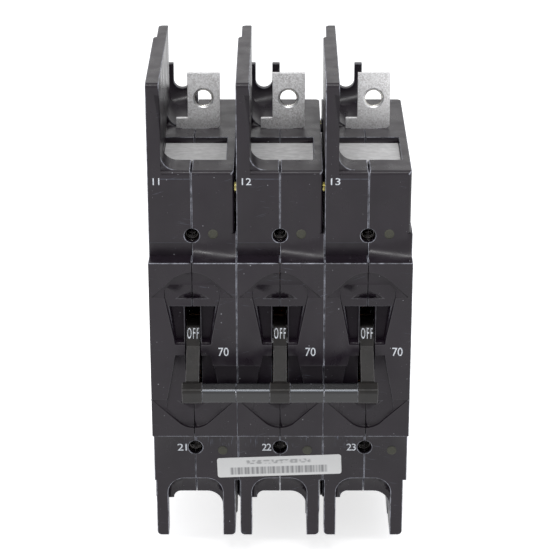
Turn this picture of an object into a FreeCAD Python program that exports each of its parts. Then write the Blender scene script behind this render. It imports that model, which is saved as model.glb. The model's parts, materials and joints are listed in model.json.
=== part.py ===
"""Three-pole hydraulic-magnetic circuit breaker, as separate moulded, pressed and wound pieces.

Frame: X across the poles, Y from the face towards the back, Z up towards the line end.
The origin is the centre of the mounting-screw pattern, on the face plane.
All sizes are in millimetres.
"""
import FreeCAD, Part
import math
import os

V = FreeCAD.Vector
AXIS_X = V(1, 0, 0)
AXIS_Y = V(0, 1, 0)
AXIS_Z = V(0, 0, 1)

# ---------------------------------------------------------------- driving sizes
POLES = 3
POLE_PITCH = 25.4

# the moulded case of one pole
LEFT_SIDE = POLE_PITCH / 2 - 0.2        # parting plane to the left outer face
RIGHT_SIDE = POLE_PITCH / 2 - 0.45      # parting plane to the right outer face
RIGHT_PAD = POLE_PITCH / 2 + 0.15       # parting plane to the spacer pad and panel edge on the right
CASE_BACK = 65.0
CASE_TOP = 54.0             # the bottom mirrors it
CASE_WALL = 2.0
PARTING_GAP = 0.10          # between the two halves
EDGE_ROUND = 1.3

# the raised panel round the handle
PANEL_RISE = 5.5
PANEL_TOP = 28.0
PAD_DEPTH = 9.0
PAD_TOP = 34.9
PAD_BOTTOM = -45.6

# mounting inserts
SCREW_SPACING_Z = 68.6
INSERT_RADIUS = 2.7
INSERT_BORE = 1.75
INSERT_NECK = 2.1           # the front end of the insert, flush with the face
INSERT_NECK_DEPTH = 0.55
INSERT_DEPTH = 10.0
INSERT_FLOOR = 1.0          # closed back end of the insert
INSERT_GROOVE = (4.6, 5.6, 0.35)        # start, end and depth of the groove round the insert

# finger recess round the handle
WINDOW_HALF = 2.25
WINDOW_REACH = 14.0         # above and below the handle axis
WINDOW_RIB = 0.35           # between the window and the pockets beside it
HOURGLASS_DEPTH = 1.0
HOURGLASS_WIDE = 8.2
HOURGLASS_WAIST = 5.2
HOURGLASS_REACH = 19.4
HOURGLASS_SHOULDER = 17.3
HOURGLASS_CORNER = 1.5
WAIST_TOP = 2.2
WAIST_BOTTOM = -1.3
DRAFT = 0.35                # the recess walls lean in by this much
DISH_DEPTH = 2.0
DISH_APEX = 25.0
# sides of each dish as (x, z) of the shoulder and of the open end, and where its floor starts to slope
UPPER_DISH = ((5.4, 23.1), (11.6, 17.3), 17.2)
LOWER_DISH = ((4.7, 23.0), (12.3, 15.8), 14.8)
SCOOP_LIP = 16.5
SCOOP_HALF = 4.6
SCOOP_DEPTH = 1.2
SCOOP_APEX = 18.9
POCKET_DEPTH = 3.2
POCKET_TOP_HALF = 7.0
LEVER_POCKET_DEPTH = 6.0
LEVER_POCKET_HALF = 5.1
LEVER_POCKET_WIDE = 7.4
TIE_NOTCH_TOP = -4.7
TIE_NOTCH_BOTTOM = -13.6
TIE_NOTCH_DEPTH = 5.0

# line end: rim, vent pocket, terminal shelf, barrier and rear wall
RIM_DEPTH = 10.0
SHELF_FRONT = 29.4
POCKET_DROP = 1.85
SHEET_THICK = 0.8
CEILING = 1.95              # between the vent sheet and the chamber
POCKET_SIDE = RIGHT_SIDE - 2.45
VENT_ROWS = 4
VENT_SPANS = ((-7.5, -1.2), (1.2, 8.2))
BARRIER_HEIGHT = 26.1
BARRIER_INNER = LEFT_SIDE - 3.9
BARRIER_BACK = 57.5
BARRIER_STEP = 45.6
BARRIER_STEP_IN = 1.0
BARRIER_CORNER = 1.3
BARRIER_ROOT_ROUND = 4.5
ROOT_RESTART = 39.6         # the root round stops at the rim and starts again here
REAR_WALL_THICK = 2.0
REAR_WALL_HEIGHT = 12.1
NOTCH_WIDTH = 5.1
NOTCH_CENTRE = 4.95
NOTCH_HEIGHT = 4.2          # bottom of the notch above the shelf
SHORT_PRONG_HEIGHT = 6.3    # the first pole's inner prong is cut down to this
RIM_NICK_HALF = 0.35
RIM_NICK_DEPTH = 0.7
PLATE_SEAT_DEPTH = 0.35     # shallow flat above the panel on the left half
PLATE_SEAT_TOP = 32.1

# load end: arch and legs
LEG_BOTTOM = -64.5
LEG_LEFT_OUT = LEFT_SIDE - 0.45
LEG_RIGHT_OUT = RIGHT_SIDE - 0.4
LEG_LEFT_IN = 8.5
LEG_RIGHT_IN = 8.1
LEG_LEFT_DEPTH = 5.0
LEG_RIGHT_STEP = 13.0
LEG_DEEP_IN = 7.9
ARCH_TOP = -44.9
ARCH_ROUND = 5.0
ARCH_WALL = 4.5
UNDER_POCKET_LEFT = 7.0
UNDER_POCKET_RISE = 2.3
UNDER_POCKET_ROUND = 4.8
UNDER_POCKET_CORNER = 2.2
LEG_ROUND = 1.3

# cavity behind the panel and in the body
CAVITY_FRONT = 3.0
CHAMBER_FRONT = 12.5
CAVITY_HALF_HEIGHT = 25.5
RIVET_RADIUS = 1.5
RIVET_BORE = 0.95
RIVET_HEAD = 2.4
RIVET_BOSS = 3.2
RIVET_HEAD_THICK = 0.6
FIT_GAP = 0.05              # pins and pressed pieces in their seats
FREE_GAP = 0.3              # pieces of different bodies that pass each other
UPPER_SPACER = (40.0, 54.0, 2.15)       # y, z and radius of the bosses that part the poles
LOWER_SPACER = (9.0, -52.3, 2.9)

# handle and tie
HANDLE_Y = 3.0
HANDLE_Z = 0.0
HANDLE_TILT = 23.0          # lever below the horizontal when off
DRUM_RADIUS = 7.5
DRUM_HALF = 1.95
LEVER_ROOT = 6.4
LEVER_ROOT_HALF = 3.9
LEVER_TIP = 17.6
LEVER_TIP_HALF = 1.5
HEAD_REACH = 20.8
HEAD_HALF_LONG = 2.1
HEAD_HALF_TALL = 2.9
HEAD_HALF_WIDE = 2.85
HEAD_ROUND = 1.1
TIE_ROD_RADIUS = 1.1
SLEEVE_SHRINK = 0.15
PIN_RADIUS = 1.25
HANDLE_PIN_HALF = 6.0

# toggle link, contact arm
LINK_PIN_REACH = 5.5
LINK_PIN_RADIUS = 0.9
ARM_Y = 24.0
ARM_Z = 0.0
ARM_OPENING = 14.0
ARM_NOSE_REACH = 9.0
ARM_HALF = 1.8
ARM_HUB = 3.4
ARM_NOSE_ROUND = 1.8
ARM_THICK = 3.0
ARM_PIN_RADIUS = 1.2
LINK_INNER = 2.3
LINK_THICK = 0.8
LINK_ROUND = 1.7
CONTACT_RADIUS = 2.2
CONTACT_THICK = 1.2
CONTACT_Z = 27.5

# terminals
TAB_Y = 37.2
TAB_THICK = 1.6
TAB_LEFT = -2.25
TAB_RIGHT = 7.45
TAB_TOP = 71.2
TAB_HOLE_X = 2.5
TAB_HOLE_Z = 63.5
TAB_HOLE_RADIUS = 2.65
TAB_HOLE_MOUTH = 3.1
TAB_HOLE_CONE = 0.35
TAB_CORNER = 0.9
EAR_LEFT = -5.75
EAR_HEIGHT = 3.15
STEM_HALF = 4.0
STEM_BOTTOM = 24.0
LOAD_TAB_SHIFT = 8.0        # the load tab stands further back

# arc chute
ARC_PLATES = 7
ARC_PITCH = 2.7
ARC_FIRST = 15.5
ARC_PLATE_THICK = 1.0
ARC_PLATE_BOTTOM = 29.0
ARC_PLATE_MARGIN = 1.8      # the cheeks stand this much over the plates
ARC_FRAME_FRONT = 13.3
ARC_FRAME_THICK = 0.8
ARC_TAB_HEIGHT = 3.0
ARC_TAB_MARGIN = 3.5
ARC_MOUTH_REACH = 9.5

# magnet
COIL_Y = 46.0
COIL_TOP = -14.0
COIL_FLANGE = RIGHT_SIDE - 2.95
COIL_RADIUS = COIL_FLANGE - 0.7
COIL_FLANGE_THICK = 1.2
COIL_LIFT = 5.1             # coil above the bottom of the tube
LEAD_RADIUS = 0.9
TUBE_RADIUS = 3.6
TUBE_WALL = 0.5
POLE_TOP = -12.3
POLE_THICK = 2.2
CORE_RADIUS = 2.8
CORE_LENGTH = 9.5
SPRING_WIRE = 0.35
SPRING_TURNS = 5
SPRING_FACETS = 10
FRAME_THICK = 1.6
FRAME_HALF = 8.0
FRAME_FRONT = 38.2
FRAME_BACK = 58.0
POST_HEIGHT = 3.8
POST_INNER = 5.2
ARMATURE_THICK = 1.6
ARMATURE_FRONT = 37.0
ARMATURE_TAIL = 31.5
ARMATURE_TAIL_HALF = 2.5
ARMATURE_LIFT = 6.0

# trip bar
TRIP_Y = 22.0
TRIP_Z = -15.5
TRIP_RADIUS = 1.8
TRIP_FINGER = 10.0
TRIP_BAR_END = 8.0          # past the outer poles' centres

PANEL_FRONT = -PANEL_RISE
PANEL_BOTTOM = -PANEL_TOP + 0.1
CASE_BOTTOM = -CASE_TOP
SHEET_TOP = CASE_TOP - POCKET_DROP
SHEET_BOTTOM = SHEET_TOP - SHEET_THICK
CHAMBER_HALF_HEIGHT = SHEET_BOTTOM - CEILING
CAVITY_LEFT = LEFT_SIDE - CASE_WALL
CAVITY_RIGHT = RIGHT_SIDE - CASE_WALL
ARC_FRAME_TOP = CHAMBER_HALF_HEIGHT - 0.6
ARC_PLATE_TOP = ARC_FRAME_TOP - ARC_PLATE_MARGIN
LOAD_STEM_TOP = -(CHAMBER_HALF_HEIGHT - 3.9)
TUBE_BOTTOM = -(CHAMBER_HALF_HEIGHT - 5.9)
COIL_BOTTOM = TUBE_BOTTOM + COIL_LIFT
RIVET_HEIGHT = CASE_TOP - 6.8
POLE_CENTRES = [(k - (POLES - 1) / 2.0) * POLE_PITCH for k in range(POLES)]
RIVET_PLACES = [(5.5, RIVET_HEIGHT), (9.0, -RIVET_HEIGHT), (CASE_BACK - 5, RIVET_HEIGHT),
                (CASE_BACK - 5, -RIVET_HEIGHT)]


# ---------------------------------------------------------------- small helpers
def box(x0, x1, y0, y1, z0, z1):
    return Part.makeBox(x1 - x0, y1 - y0, z1 - z0, V(x0, y0, z0))


def rod(radius, x0, x1, y, z):
    """A round bar along X."""
    return Part.makeCylinder(radius, x1 - x0, V(x0, y, z), AXIS_X)


def hole_y(radius, x, z, y0, y1):
    return Part.makeCylinder(radius, y1 - y0, V(x, y0, z), AXIS_Y)


def hole_z(radius, x, y, z0, z1):
    return Part.makeCylinder(radius, z1 - z0, V(x, y, z0), AXIS_Z)


def side_profile(points, x0, x1):
    """A flat outline given as (y, z) points, made x0 to x1 thick."""
    corners = [V(x0, y, z) for y, z in points]
    return Part.Face(Part.makePolygon(corners + corners[:1])).extrude(V(x1 - x0, 0, 0))


def front_profile(points, y0, y1):
    """A flat outline given as (x, z) points, made y0 to y1 deep."""
    corners = [V(x, y0, z) for x, z in points]
    return Part.Face(Part.makePolygon(corners + corners[:1])).extrude(V(0, y1 - y0, 0))


def mirrored(points):
    return points + [(-x, z) for x, z in reversed(points)]


def fuse(shapes):
    return shapes[0].multiFuse(shapes[1:]).removeSplitter()


def cut(shape, tools):
    return shape.cut(Part.makeCompound(tools))


def edges_along(shape, axis, test):
    """Straight edges parallel to an axis whose middle point passes the test."""
    found = []
    for edge in shape.Edges:
        if not isinstance(edge.Curve, Part.Line):
            continue
        direction = edge.tangentAt(edge.FirstParameter)
        if abs(abs(direction.dot(axis)) - 1) < 1e-6 and test(edge.CenterOfMass):
            found.append(edge)
    return found


def turned(shape, angle, y, z):
    """Turn about a line parallel to X through (y, z)."""
    copy = shape.copy()
    copy.rotate(V(0, y, z), AXIS_X, angle)
    return copy


def moved(shape, x):
    copy = shape.copy()
    copy.translate(V(x, 0, 0))
    return copy


def save(shape, name):
    shape.exportStep(f"parts/{name}.step")


# ---------------------------------------------------------------- the case of one pole
def case_block():
    """The outside of one pole before anything is cut into it."""
    body = box(-LEFT_SIDE, RIGHT_SIDE, 0, CASE_BACK, CASE_BOTTOM, CASE_TOP)
    rounds = edges_along(body, AXIS_Z, lambda p: p.x > 0)
    rounds += edges_along(body, AXIS_X, lambda p: p.y < 1 and p.z > 0)
    body = body.makeFillet(EDGE_ROUND, rounds)
    panel = box(-LEFT_SIDE, RIGHT_PAD, PANEL_FRONT, EDGE_ROUND, PANEL_BOTTOM, PANEL_TOP)
    pad = box(RIGHT_SIDE - 2 * EDGE_ROUND, RIGHT_PAD, 0, PAD_DEPTH, PAD_BOTTOM, PAD_TOP)
    return [body, panel, pad]


def barrier():
    """The phase barrier on the left half of the line end, stepped towards the back, with its root round."""
    top = CASE_TOP + BARRIER_HEIGHT
    bottom = CASE_TOP - EDGE_ROUND
    wall = box(-LEFT_SIDE, -BARRIER_INNER, 0, BARRIER_STEP, bottom, top)
    rounds = edges_along(wall, AXIS_X, lambda p: p.y < 1 and p.z > CASE_TOP)
    rounds += edges_along(wall, AXIS_Z, lambda p: p.y > 1 and p.x < -BARRIER_INNER - 1)
    wall = wall.makeFillet(BARRIER_CORNER, rounds)
    back = box(-LEFT_SIDE + BARRIER_STEP_IN, -BARRIER_INNER, BARRIER_STEP / 2, BARRIER_BACK, bottom, top)
    corner = edges_along(back, AXIS_Z, lambda p: p.y > BARRIER_STEP and p.x < -BARRIER_INNER - 1)
    back = back.makeFillet(BARRIER_CORNER, corner)
    return [wall, back] + root_rounds(-BARRIER_INNER, 1, CASE_TOP, SHEET_TOP, 1,
                                      [(EDGE_ROUND, RIM_DEPTH), (ROOT_RESTART, BARRIER_BACK)])


def root_rounds(wall_x, away, face_z, sunk_z, up, spans):
    """Concave rounds between a wall and the end face it stands on; away and up are 1 or -1."""
    radius = BARRIER_ROOT_ROUND
    centre_x = wall_x + away * radius
    centre_z = face_z + up * radius
    x0, x1 = sorted((wall_x - away * 0.5, centre_x))
    z0, z1 = sorted((sunk_z, centre_z))
    rounds = []
    for y0, y1 in spans:
        block = box(x0, x1, y0, y1, z0, z1)
        rounds.append(block.cut(hole_y(radius, centre_x, centre_z, y0 - 1, y1 + 1)))
    return rounds


def rear_wall(short_prong):
    """The low wall behind a terminal, with its U notch."""
    top = CASE_TOP + REAR_WALL_HEIGHT
    left = -LEFT_SIDE + BARRIER_STEP_IN
    wall = box(left, 0, CASE_BACK - REAR_WALL_THICK, CASE_BACK, CASE_TOP - 1, top)
    radius = NOTCH_WIDTH / 2
    round_end = hole_y(radius, -NOTCH_CENTRE, CASE_TOP + NOTCH_HEIGHT + radius, CASE_BACK - 5, CASE_BACK + 1)
    slot = box(-NOTCH_CENTRE - radius, -NOTCH_CENTRE + radius, CASE_BACK - 5, CASE_BACK + 1,
               CASE_TOP + NOTCH_HEIGHT + radius, top + 1)
    tools = [round_end, slot]
    if short_prong:
        tools.append(box(-NOTCH_CENTRE, 1, CASE_BACK - 5, CASE_BACK + 1, CASE_TOP + SHORT_PRONG_HEIGHT, top + 1))
    return cut(wall, tools)


def leg(inner, outer, y0, y1, top):
    """One leg or leg barrier at the load end, with its lower outer corner rounded."""
    x0, x1 = min(inner, outer), max(inner, outer)
    block = box(x0, x1, y0, y1, LEG_BOTTOM, top)
    near_outer = edges_along(block, AXIS_Y, lambda p: p.z < LEG_BOTTOM + 1 and abs(p.x - outer) < 0.01)
    return block.makeFillet(LEG_ROUND, near_outer)


def load_end():
    left = leg(-LEG_LEFT_IN, -LEG_LEFT_OUT, 0, LEG_LEFT_DEPTH, PAD_BOTTOM)
    right = leg(LEG_RIGHT_IN, LEG_RIGHT_OUT, 0, LEG_RIGHT_STEP + 1, PAD_BOTTOM)
    deep = leg(LEG_DEEP_IN, RIGHT_SIDE, LEG_RIGHT_STEP, BARRIER_BACK, CASE_BOTTOM + 2)
    tab_front = TAB_Y + LOAD_TAB_SHIFT
    spans = [(ARCH_WALL - 1, tab_front - FIT_GAP), (tab_front + TAB_THICK + FIT_GAP, BARRIER_BACK)]
    return [left, right, deep] + root_rounds(LEG_DEEP_IN, -1, CASE_BOTTOM, CASE_BOTTOM + 0.5, -1, spans)


def arch_cut():
    """The rounded arch through the front wall at the load end, and the shallow pocket behind it."""
    arch = box(-LEG_LEFT_IN, LEG_RIGHT_IN, -1, ARCH_WALL, LEG_BOTTOM - 1, ARCH_TOP)
    arch = arch.makeFillet(ARCH_ROUND, edges_along(arch, AXIS_Y, lambda p: p.z > ARCH_TOP - 1))
    ceiling = CASE_BOTTOM + UNDER_POCKET_RISE
    pocket = box(-UNDER_POCKET_LEFT, LEG_DEEP_IN, 0, SHELF_FRONT, LEG_BOTTOM, ceiling)
    right = edges_along(pocket, AXIS_Y, lambda p: p.z > ceiling - 1 and p.x > 0)
    pocket = pocket.makeFillet(UNDER_POCKET_ROUND, right)
    left = edges_along(pocket, AXIS_Y, lambda p: p.z > ceiling - 1 and p.x < 1 - UNDER_POCKET_LEFT)
    pocket = pocket.makeFillet(UNDER_POCKET_CORNER, left)
    side_left = box(-LEFT_SIDE - 1, -LEG_LEFT_OUT, -1, LEG_LEFT_DEPTH, LEG_BOTTOM - 1, PAD_BOTTOM)
    side_right = box(LEG_RIGHT_OUT, RIGHT_PAD + 1, -1, LEG_RIGHT_STEP, LEG_BOTTOM - 1, PAD_BOTTOM)
    return [arch, pocket, side_left, side_right]


def dish(sign, shoulder, end, start):
    """The finger dish above (sign 1) or below (sign -1) the handle: its floor slopes in towards the apex."""
    right, left = V(shoulder[0], 0, shoulder[1]), V(-shoulder[0], 0, shoulder[1])
    outline = [Part.Arc(left, V(0, 0, DISH_APEX), right).toShape()]
    corners = [right, V(end[0], 0, end[1]), V(-end[0], 0, end[1]), left]
    outline += [Part.makeLine(a, b) for a, b in zip(corners, corners[1:])]
    region = Part.Face(Part.Wire(outline)).extrude(V(0, DISH_DEPTH * 2, 0))
    region.translate(V(0, PANEL_FRONT - 0.01, 0))
    far = DISH_APEX + 5
    deep = PANEL_FRONT + DISH_DEPTH * (far - start) / (DISH_APEX - start)
    wedge = side_profile([(PANEL_FRONT - 1, start), (PANEL_FRONT, start), (deep, far), (PANEL_FRONT - 1, far)],
                         -LEFT_SIDE, LEFT_SIDE)
    shape = region.common(wedge)
    if sign < 0:
        shape.rotate(V(0, 0, 0), AXIS_Y, 180)
    return shape


def scoop(sign):
    """A half-cone scooped out of the recess floor towards its lip."""
    floor = PANEL_FRONT + HOURGLASS_DEPTH
    radius = (SCOOP_HALF ** 2 + SCOOP_DEPTH ** 2) / (2 * SCOOP_DEPTH)
    long = SCOOP_APEX - SCOOP_LIP
    small = radius - SCOOP_DEPTH
    cone = Part.makeCone(radius, small, long, V(0, floor + SCOOP_DEPTH - radius, SCOOP_LIP), AXIS_Z)
    keep = box(-SCOOP_HALF, SCOOP_HALF, floor - 0.5, floor + SCOOP_DEPTH + 1, SCOOP_LIP, SCOOP_APEX)
    shape = cone.common(keep)
    if sign < 0:
        shape.rotate(V(0, 0, 0), AXIS_Y, 180)
    return shape


def tapered(points, shrunk, y0, y1):
    """A pocket with draft: a wide mouth outline at y0 and a smaller floor outline at y1."""
    wires = []
    for outline, y in ((points, y0), (shrunk, y1)):
        corners = [V(x, y, z) for x, z in outline]
        wires.append(Part.makePolygon(corners + corners[:1]))
    return Part.makeLoft(wires, True, True)


def finger_recess(right_open, left_open):
    """Everything cut into the panel round the handle; an open side faces a neighbouring pole."""
    mouth = PANEL_FRONT - 0.5
    floor = PANEL_FRONT + HOURGLASS_DEPTH
    tools = [dish(1, *UPPER_DISH), dish(-1, *LOWER_DISH), scoop(1), scoop(-1)]
    corner = HOURGLASS_WIDE - HOURGLASS_CORNER
    for sign, waist in ((1, WAIST_TOP), (-1, WAIST_BOTTOM)):
        half = [(HOURGLASS_WAIST, waist), (HOURGLASS_WIDE, sign * HOURGLASS_SHOULDER),
                (HOURGLASS_WIDE, sign * HOURGLASS_REACH), (corner, sign * (HOURGLASS_REACH + HOURGLASS_CORNER))]
        half = half[::sign]
        inner = [(x - DRAFT, z) for x, z in half]
        tools.append(tapered(mirrored(half), mirrored(inner), mouth, floor))
    rib = WINDOW_HALF + WINDOW_RIB
    for side, opened in ((1, right_open), (-1, left_open)):
        upper = [(rib, WAIST_TOP), (HOURGLASS_WAIST + 0.1, WAIST_TOP), (POCKET_TOP_HALF, WINDOW_REACH),
                 (rib, WINDOW_REACH)]
        inner = [(rib, WAIST_TOP + 2 * DRAFT), (HOURGLASS_WAIST - DRAFT, WAIST_TOP + 2 * DRAFT),
                 (POCKET_TOP_HALF - 2 * DRAFT, WINDOW_REACH), (rib, WINDOW_REACH)]
        tools.append(tapered(sided(upper, side), sided(inner, side), mouth, PANEL_FRONT + POCKET_DEPTH))
        if opened:
            tools += lever_pocket(side, mouth)
    tools.append(box(-WINDOW_HALF, WINDOW_HALF, mouth, CAVITY_FRONT + 1, -WINDOW_REACH, WINDOW_REACH))
    return tools


def lever_pocket(side, mouth):
    """The deep pocket beside the lever and the notch that lets the tie swing between two poles."""
    lower = [(0, WAIST_BOTTOM), (LEVER_POCKET_HALF, WAIST_BOTTOM), (LEVER_POCKET_WIDE, -WINDOW_REACH),
             (0, -WINDOW_REACH)]
    inner = [(0, WAIST_BOTTOM - DRAFT), (LEVER_POCKET_HALF - DRAFT, WAIST_BOTTOM - DRAFT),
             (LEVER_POCKET_WIDE - DRAFT, -WINDOW_REACH + DRAFT), (0, -WINDOW_REACH + DRAFT)]
    pocket = tapered(sided(lower, side), sided(inner, side), mouth, PANEL_FRONT + LEVER_POCKET_DEPTH)
    x0, x1 = sorted((0, side * (RIGHT_PAD + 1)))
    notch = box(x0, x1, mouth, PANEL_FRONT + TIE_NOTCH_DEPTH, TIE_NOTCH_BOTTOM, TIE_NOTCH_TOP)
    return [pocket, notch]


def sided(points, side):
    return [(side * x, z) for x, z in points]


def cavity():
    """The hollow that holds the mechanism, with the bosses that carry pins and rivets left standing."""
    outline = [(CAVITY_FRONT, -CAVITY_HALF_HEIGHT), (CAVITY_FRONT, CAVITY_HALF_HEIGHT),
               (CHAMBER_FRONT, CAVITY_HALF_HEIGHT), (CHAMBER_FRONT, CHAMBER_HALF_HEIGHT),
               (CASE_BACK - CASE_WALL, CHAMBER_HALF_HEIGHT), (CASE_BACK - CASE_WALL, -CHAMBER_HALF_HEIGHT),
               (CHAMBER_FRONT, -CHAMBER_HALF_HEIGHT), (CHAMBER_FRONT, -CAVITY_HALF_HEIGHT)]
    hollow = side_profile(outline, -CAVITY_LEFT, CAVITY_RIGHT)
    kept = []
    for y, z in RIVET_PLACES:
        kept.append(rod(RIVET_BOSS, -LEFT_SIDE, RIGHT_SIDE, y, z))
    inner = ARM_HALF + FREE_GAP
    for side in (1, -1):
        far = side * LEFT_SIDE
        near = side * inner
        kept.append(rod(ARM_PIN_RADIUS + 1.4, min(near, far), max(near, far), ARM_Y, ARM_Z))
        x0, x1 = sorted((side * (WINDOW_HALF + 0.1), side * (HANDLE_PIN_HALF + 1.5)))
        kept.append(box(x0, x1, CAVITY_FRONT - 0.5, HANDLE_Y + PIN_RADIUS + 1.2, HANDLE_Z - 3.0, HANDLE_Z + 3.0))
    return cut(hollow, kept)


def case_holes(first, last):
    """Bores for inserts, pins, rivets and the trip bar, the terminal slots and the arc vents."""
    tools = []
    for z in (-SCREW_SPACING_Z / 2, SCREW_SPACING_Z / 2):
        tools.append(hole_y(INSERT_NECK + FIT_GAP, 0, z, -1, INSERT_NECK_DEPTH + 1))
        tools.append(hole_y(INSERT_RADIUS + FIT_GAP, 0, z, INSERT_NECK_DEPTH - FIT_GAP, INSERT_DEPTH + FREE_GAP))
    pin_end = HANDLE_PIN_HALF + FIT_GAP
    tools.append(rod(PIN_RADIUS + FIT_GAP, -pin_end, pin_end, HANDLE_Y, HANDLE_Z))
    tools.append(rod(ARM_PIN_RADIUS + FIT_GAP, -LEFT_SIDE + 1, RIGHT_SIDE - 1, ARM_Y, ARM_Z))
    for y, z in RIVET_PLACES:
        tools.append(rod(RIVET_RADIUS + FIT_GAP, -LEFT_SIDE - 1, RIGHT_PAD + 1, y, z))
        if first:
            tools.append(rod(RIVET_HEAD + FIT_GAP, -LEFT_SIDE - 1, -LEFT_SIDE + RIVET_HEAD_THICK, y, z))
        if last:
            side = RIGHT_SIDE
            tools.append(rod(RIVET_HEAD + FIT_GAP, side - RIVET_HEAD_THICK, RIGHT_PAD + 1, y, z))
    x0 = 0 if first else -LEFT_SIDE - 1
    x1 = 0 if last else RIGHT_PAD + 1
    tools.append(rod(TRIP_RADIUS + FIT_GAP, x0, x1, TRIP_Y, TRIP_Z))
    half = STEM_HALF + FIT_GAP
    inside = CHAMBER_HALF_HEIGHT - 1
    for shift, z0, z1 in ((0, inside, CASE_TOP + 1), (LOAD_TAB_SHIFT, CASE_BOTTOM - 1, -inside)):
        front = TAB_Y + shift
        tools.append(box(-half, half, front - FIT_GAP, front + TAB_THICK + FIT_GAP, z0, z1))
    tools.append(box(-BARRIER_INNER, POCKET_SIDE, RIM_DEPTH, SHELF_FRONT, SHEET_BOTTOM, CASE_TOP + 1))
    vent_pitch = (SHELF_FRONT - CHAMBER_FRONT) / VENT_ROWS
    for k in range(VENT_ROWS):
        y = CHAMBER_FRONT + vent_pitch * (k + 0.3)
        for x0, x1 in VENT_SPANS:
            tools.append(box(x0, x1, y, y + vent_pitch * 0.5, CHAMBER_HALF_HEIGHT - 1, SHEET_BOTTOM + 1))
    nick = [(-RIM_NICK_HALF, CASE_TOP + 0.1), (RIM_NICK_HALF, CASE_TOP + 0.1), (0, CASE_TOP - RIM_NICK_DEPTH)]
    tools.append(front_profile(nick, -1, RIM_DEPTH + 1))
    tools.append(box(-LEFT_SIDE - 1, 0, -1, PLATE_SEAT_DEPTH, PANEL_TOP, PLATE_SEAT_TOP))
    return tools


def spacers():
    """Round bosses on the left face that keep the poles apart at the two ends."""
    gap = POLE_PITCH - LEFT_SIDE - RIGHT_SIDE
    bosses = []
    for y, z, radius in (UPPER_SPACER, LOWER_SPACER):
        bosses.append(rod(radius, -LEFT_SIDE - gap + 0.02, -LEFT_SIDE + 1, y, z))
    return bosses


def pole_case(index):
    first = index == 0
    last = index == POLES - 1
    solids = case_block() + barrier() + [rear_wall(first)]
    lower = rear_wall(False)
    lower.rotate(V(0, 0, 0), AXIS_Y, 180)
    solids += [lower] + load_end()
    if not first:
        solids += spacers()
    whole = fuse(solids)
    whole = cut(whole, arch_cut())
    whole = cut(whole, [cavity()])
    for tool in finger_recess(not last, not first) + case_holes(first, last):
        whole = whole.cut(tool)
    half_gap = PARTING_GAP / 2
    left = whole.common(box(-20, -half_gap, -20, 80, -90, 90))
    right = whole.common(box(half_gap, 20, -20, 80, -90, 90))
    return left.removeSplitter(), right.removeSplitter()


# ---------------------------------------------------------------- pieces fixed in the case
def vent_sheet():
    gap = FIT_GAP
    return box(-BARRIER_INNER + gap, POCKET_SIDE - gap, RIM_DEPTH + gap, SHELF_FRONT - gap, SHEET_BOTTOM, SHEET_TOP)


def mounting_insert(z):
    """A moulded-in nut: its neck comes flush with the face and its body is grooved to grip."""
    neck = hole_y(INSERT_NECK, 0, z, 0, INSERT_NECK_DEPTH + 1)
    body = hole_y(INSERT_RADIUS, 0, z, INSERT_NECK_DEPTH, INSERT_DEPTH)
    bore = hole_y(INSERT_BORE, 0, z, -1, INSERT_DEPTH - INSERT_FLOOR)
    start, end, deep = INSERT_GROOVE
    groove = hole_y(INSERT_RADIUS + 1, 0, z, start, end).cut(hole_y(INSERT_RADIUS - deep, 0, z, start - 1, end + 1))
    return cut(fuse([neck, body]), [bore, groove])


def case_rivet(y, z):
    """A tubular rivet through all the poles, flared in the counterbores of the two outer faces."""
    x0 = POLE_CENTRES[0] - LEFT_SIDE
    x1 = POLE_CENTRES[-1] + RIGHT_SIDE
    shank = rod(RIVET_RADIUS, x0, x1, y, z)
    heads = [rod(RIVET_HEAD, x0, x0 + RIVET_HEAD_THICK, y, z), rod(RIVET_HEAD, x1 - RIVET_HEAD_THICK, x1, y, z)]
    flare = RIVET_HEAD - RIVET_BORE - 0.5
    cones = [Part.makeCone(RIVET_BORE + flare, RIVET_BORE, flare, V(x0, y, z), AXIS_X),
             Part.makeCone(RIVET_BORE, RIVET_BORE + flare, flare, V(x1 - flare, y, z), AXIS_X)]
    return cut(fuse([shank] + heads), [rod(RIVET_BORE, x0 - 1, x1 + 1, y, z)] + cones)


def terminal(stem_end, y):
    """A flat terminal: tab with its threaded hole, ear that rests on the case, and stem through the slot."""
    y1 = y + TAB_THICK
    tab = box(TAB_LEFT, TAB_RIGHT, y, y1, CASE_TOP, TAB_TOP)
    corner = edges_along(tab, AXIS_Y, lambda p: p.z < CASE_TOP + 1 and p.x > 0)
    tab = tab.makeChamfer(TAB_CORNER, corner)
    ear = box(EAR_LEFT, TAB_LEFT + 0.5, y, y1, CASE_TOP, CASE_TOP + EAR_HEIGHT)
    stem = box(-STEM_HALF, STEM_HALF, y, y1, stem_end, CASE_TOP + 1)
    hole = hole_y(TAB_HOLE_RADIUS, TAB_HOLE_X, TAB_HOLE_Z, y - 1, y1 + 1)
    mouth = Part.makeCone(TAB_HOLE_MOUTH, TAB_HOLE_RADIUS, TAB_HOLE_CONE, V(TAB_HOLE_X, y, TAB_HOLE_Z), AXIS_Y)
    return cut(fuse([tab, ear, stem]), [hole, mouth])


def line_terminal():
    fixed_contact = hole_y(CONTACT_RADIUS, 0, CONTACT_Z, TAB_Y - CONTACT_THICK, TAB_Y + 0.1)
    return fuse([terminal(STEM_BOTTOM, TAB_Y), fixed_contact])


def load_terminal():
    turned_over = terminal(-LOAD_STEM_TOP, TAB_Y + LOAD_TAB_SHIFT)
    turned_over.rotate(V(0, 0, 0), AXIS_Y, 180)
    return turned_over


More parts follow.
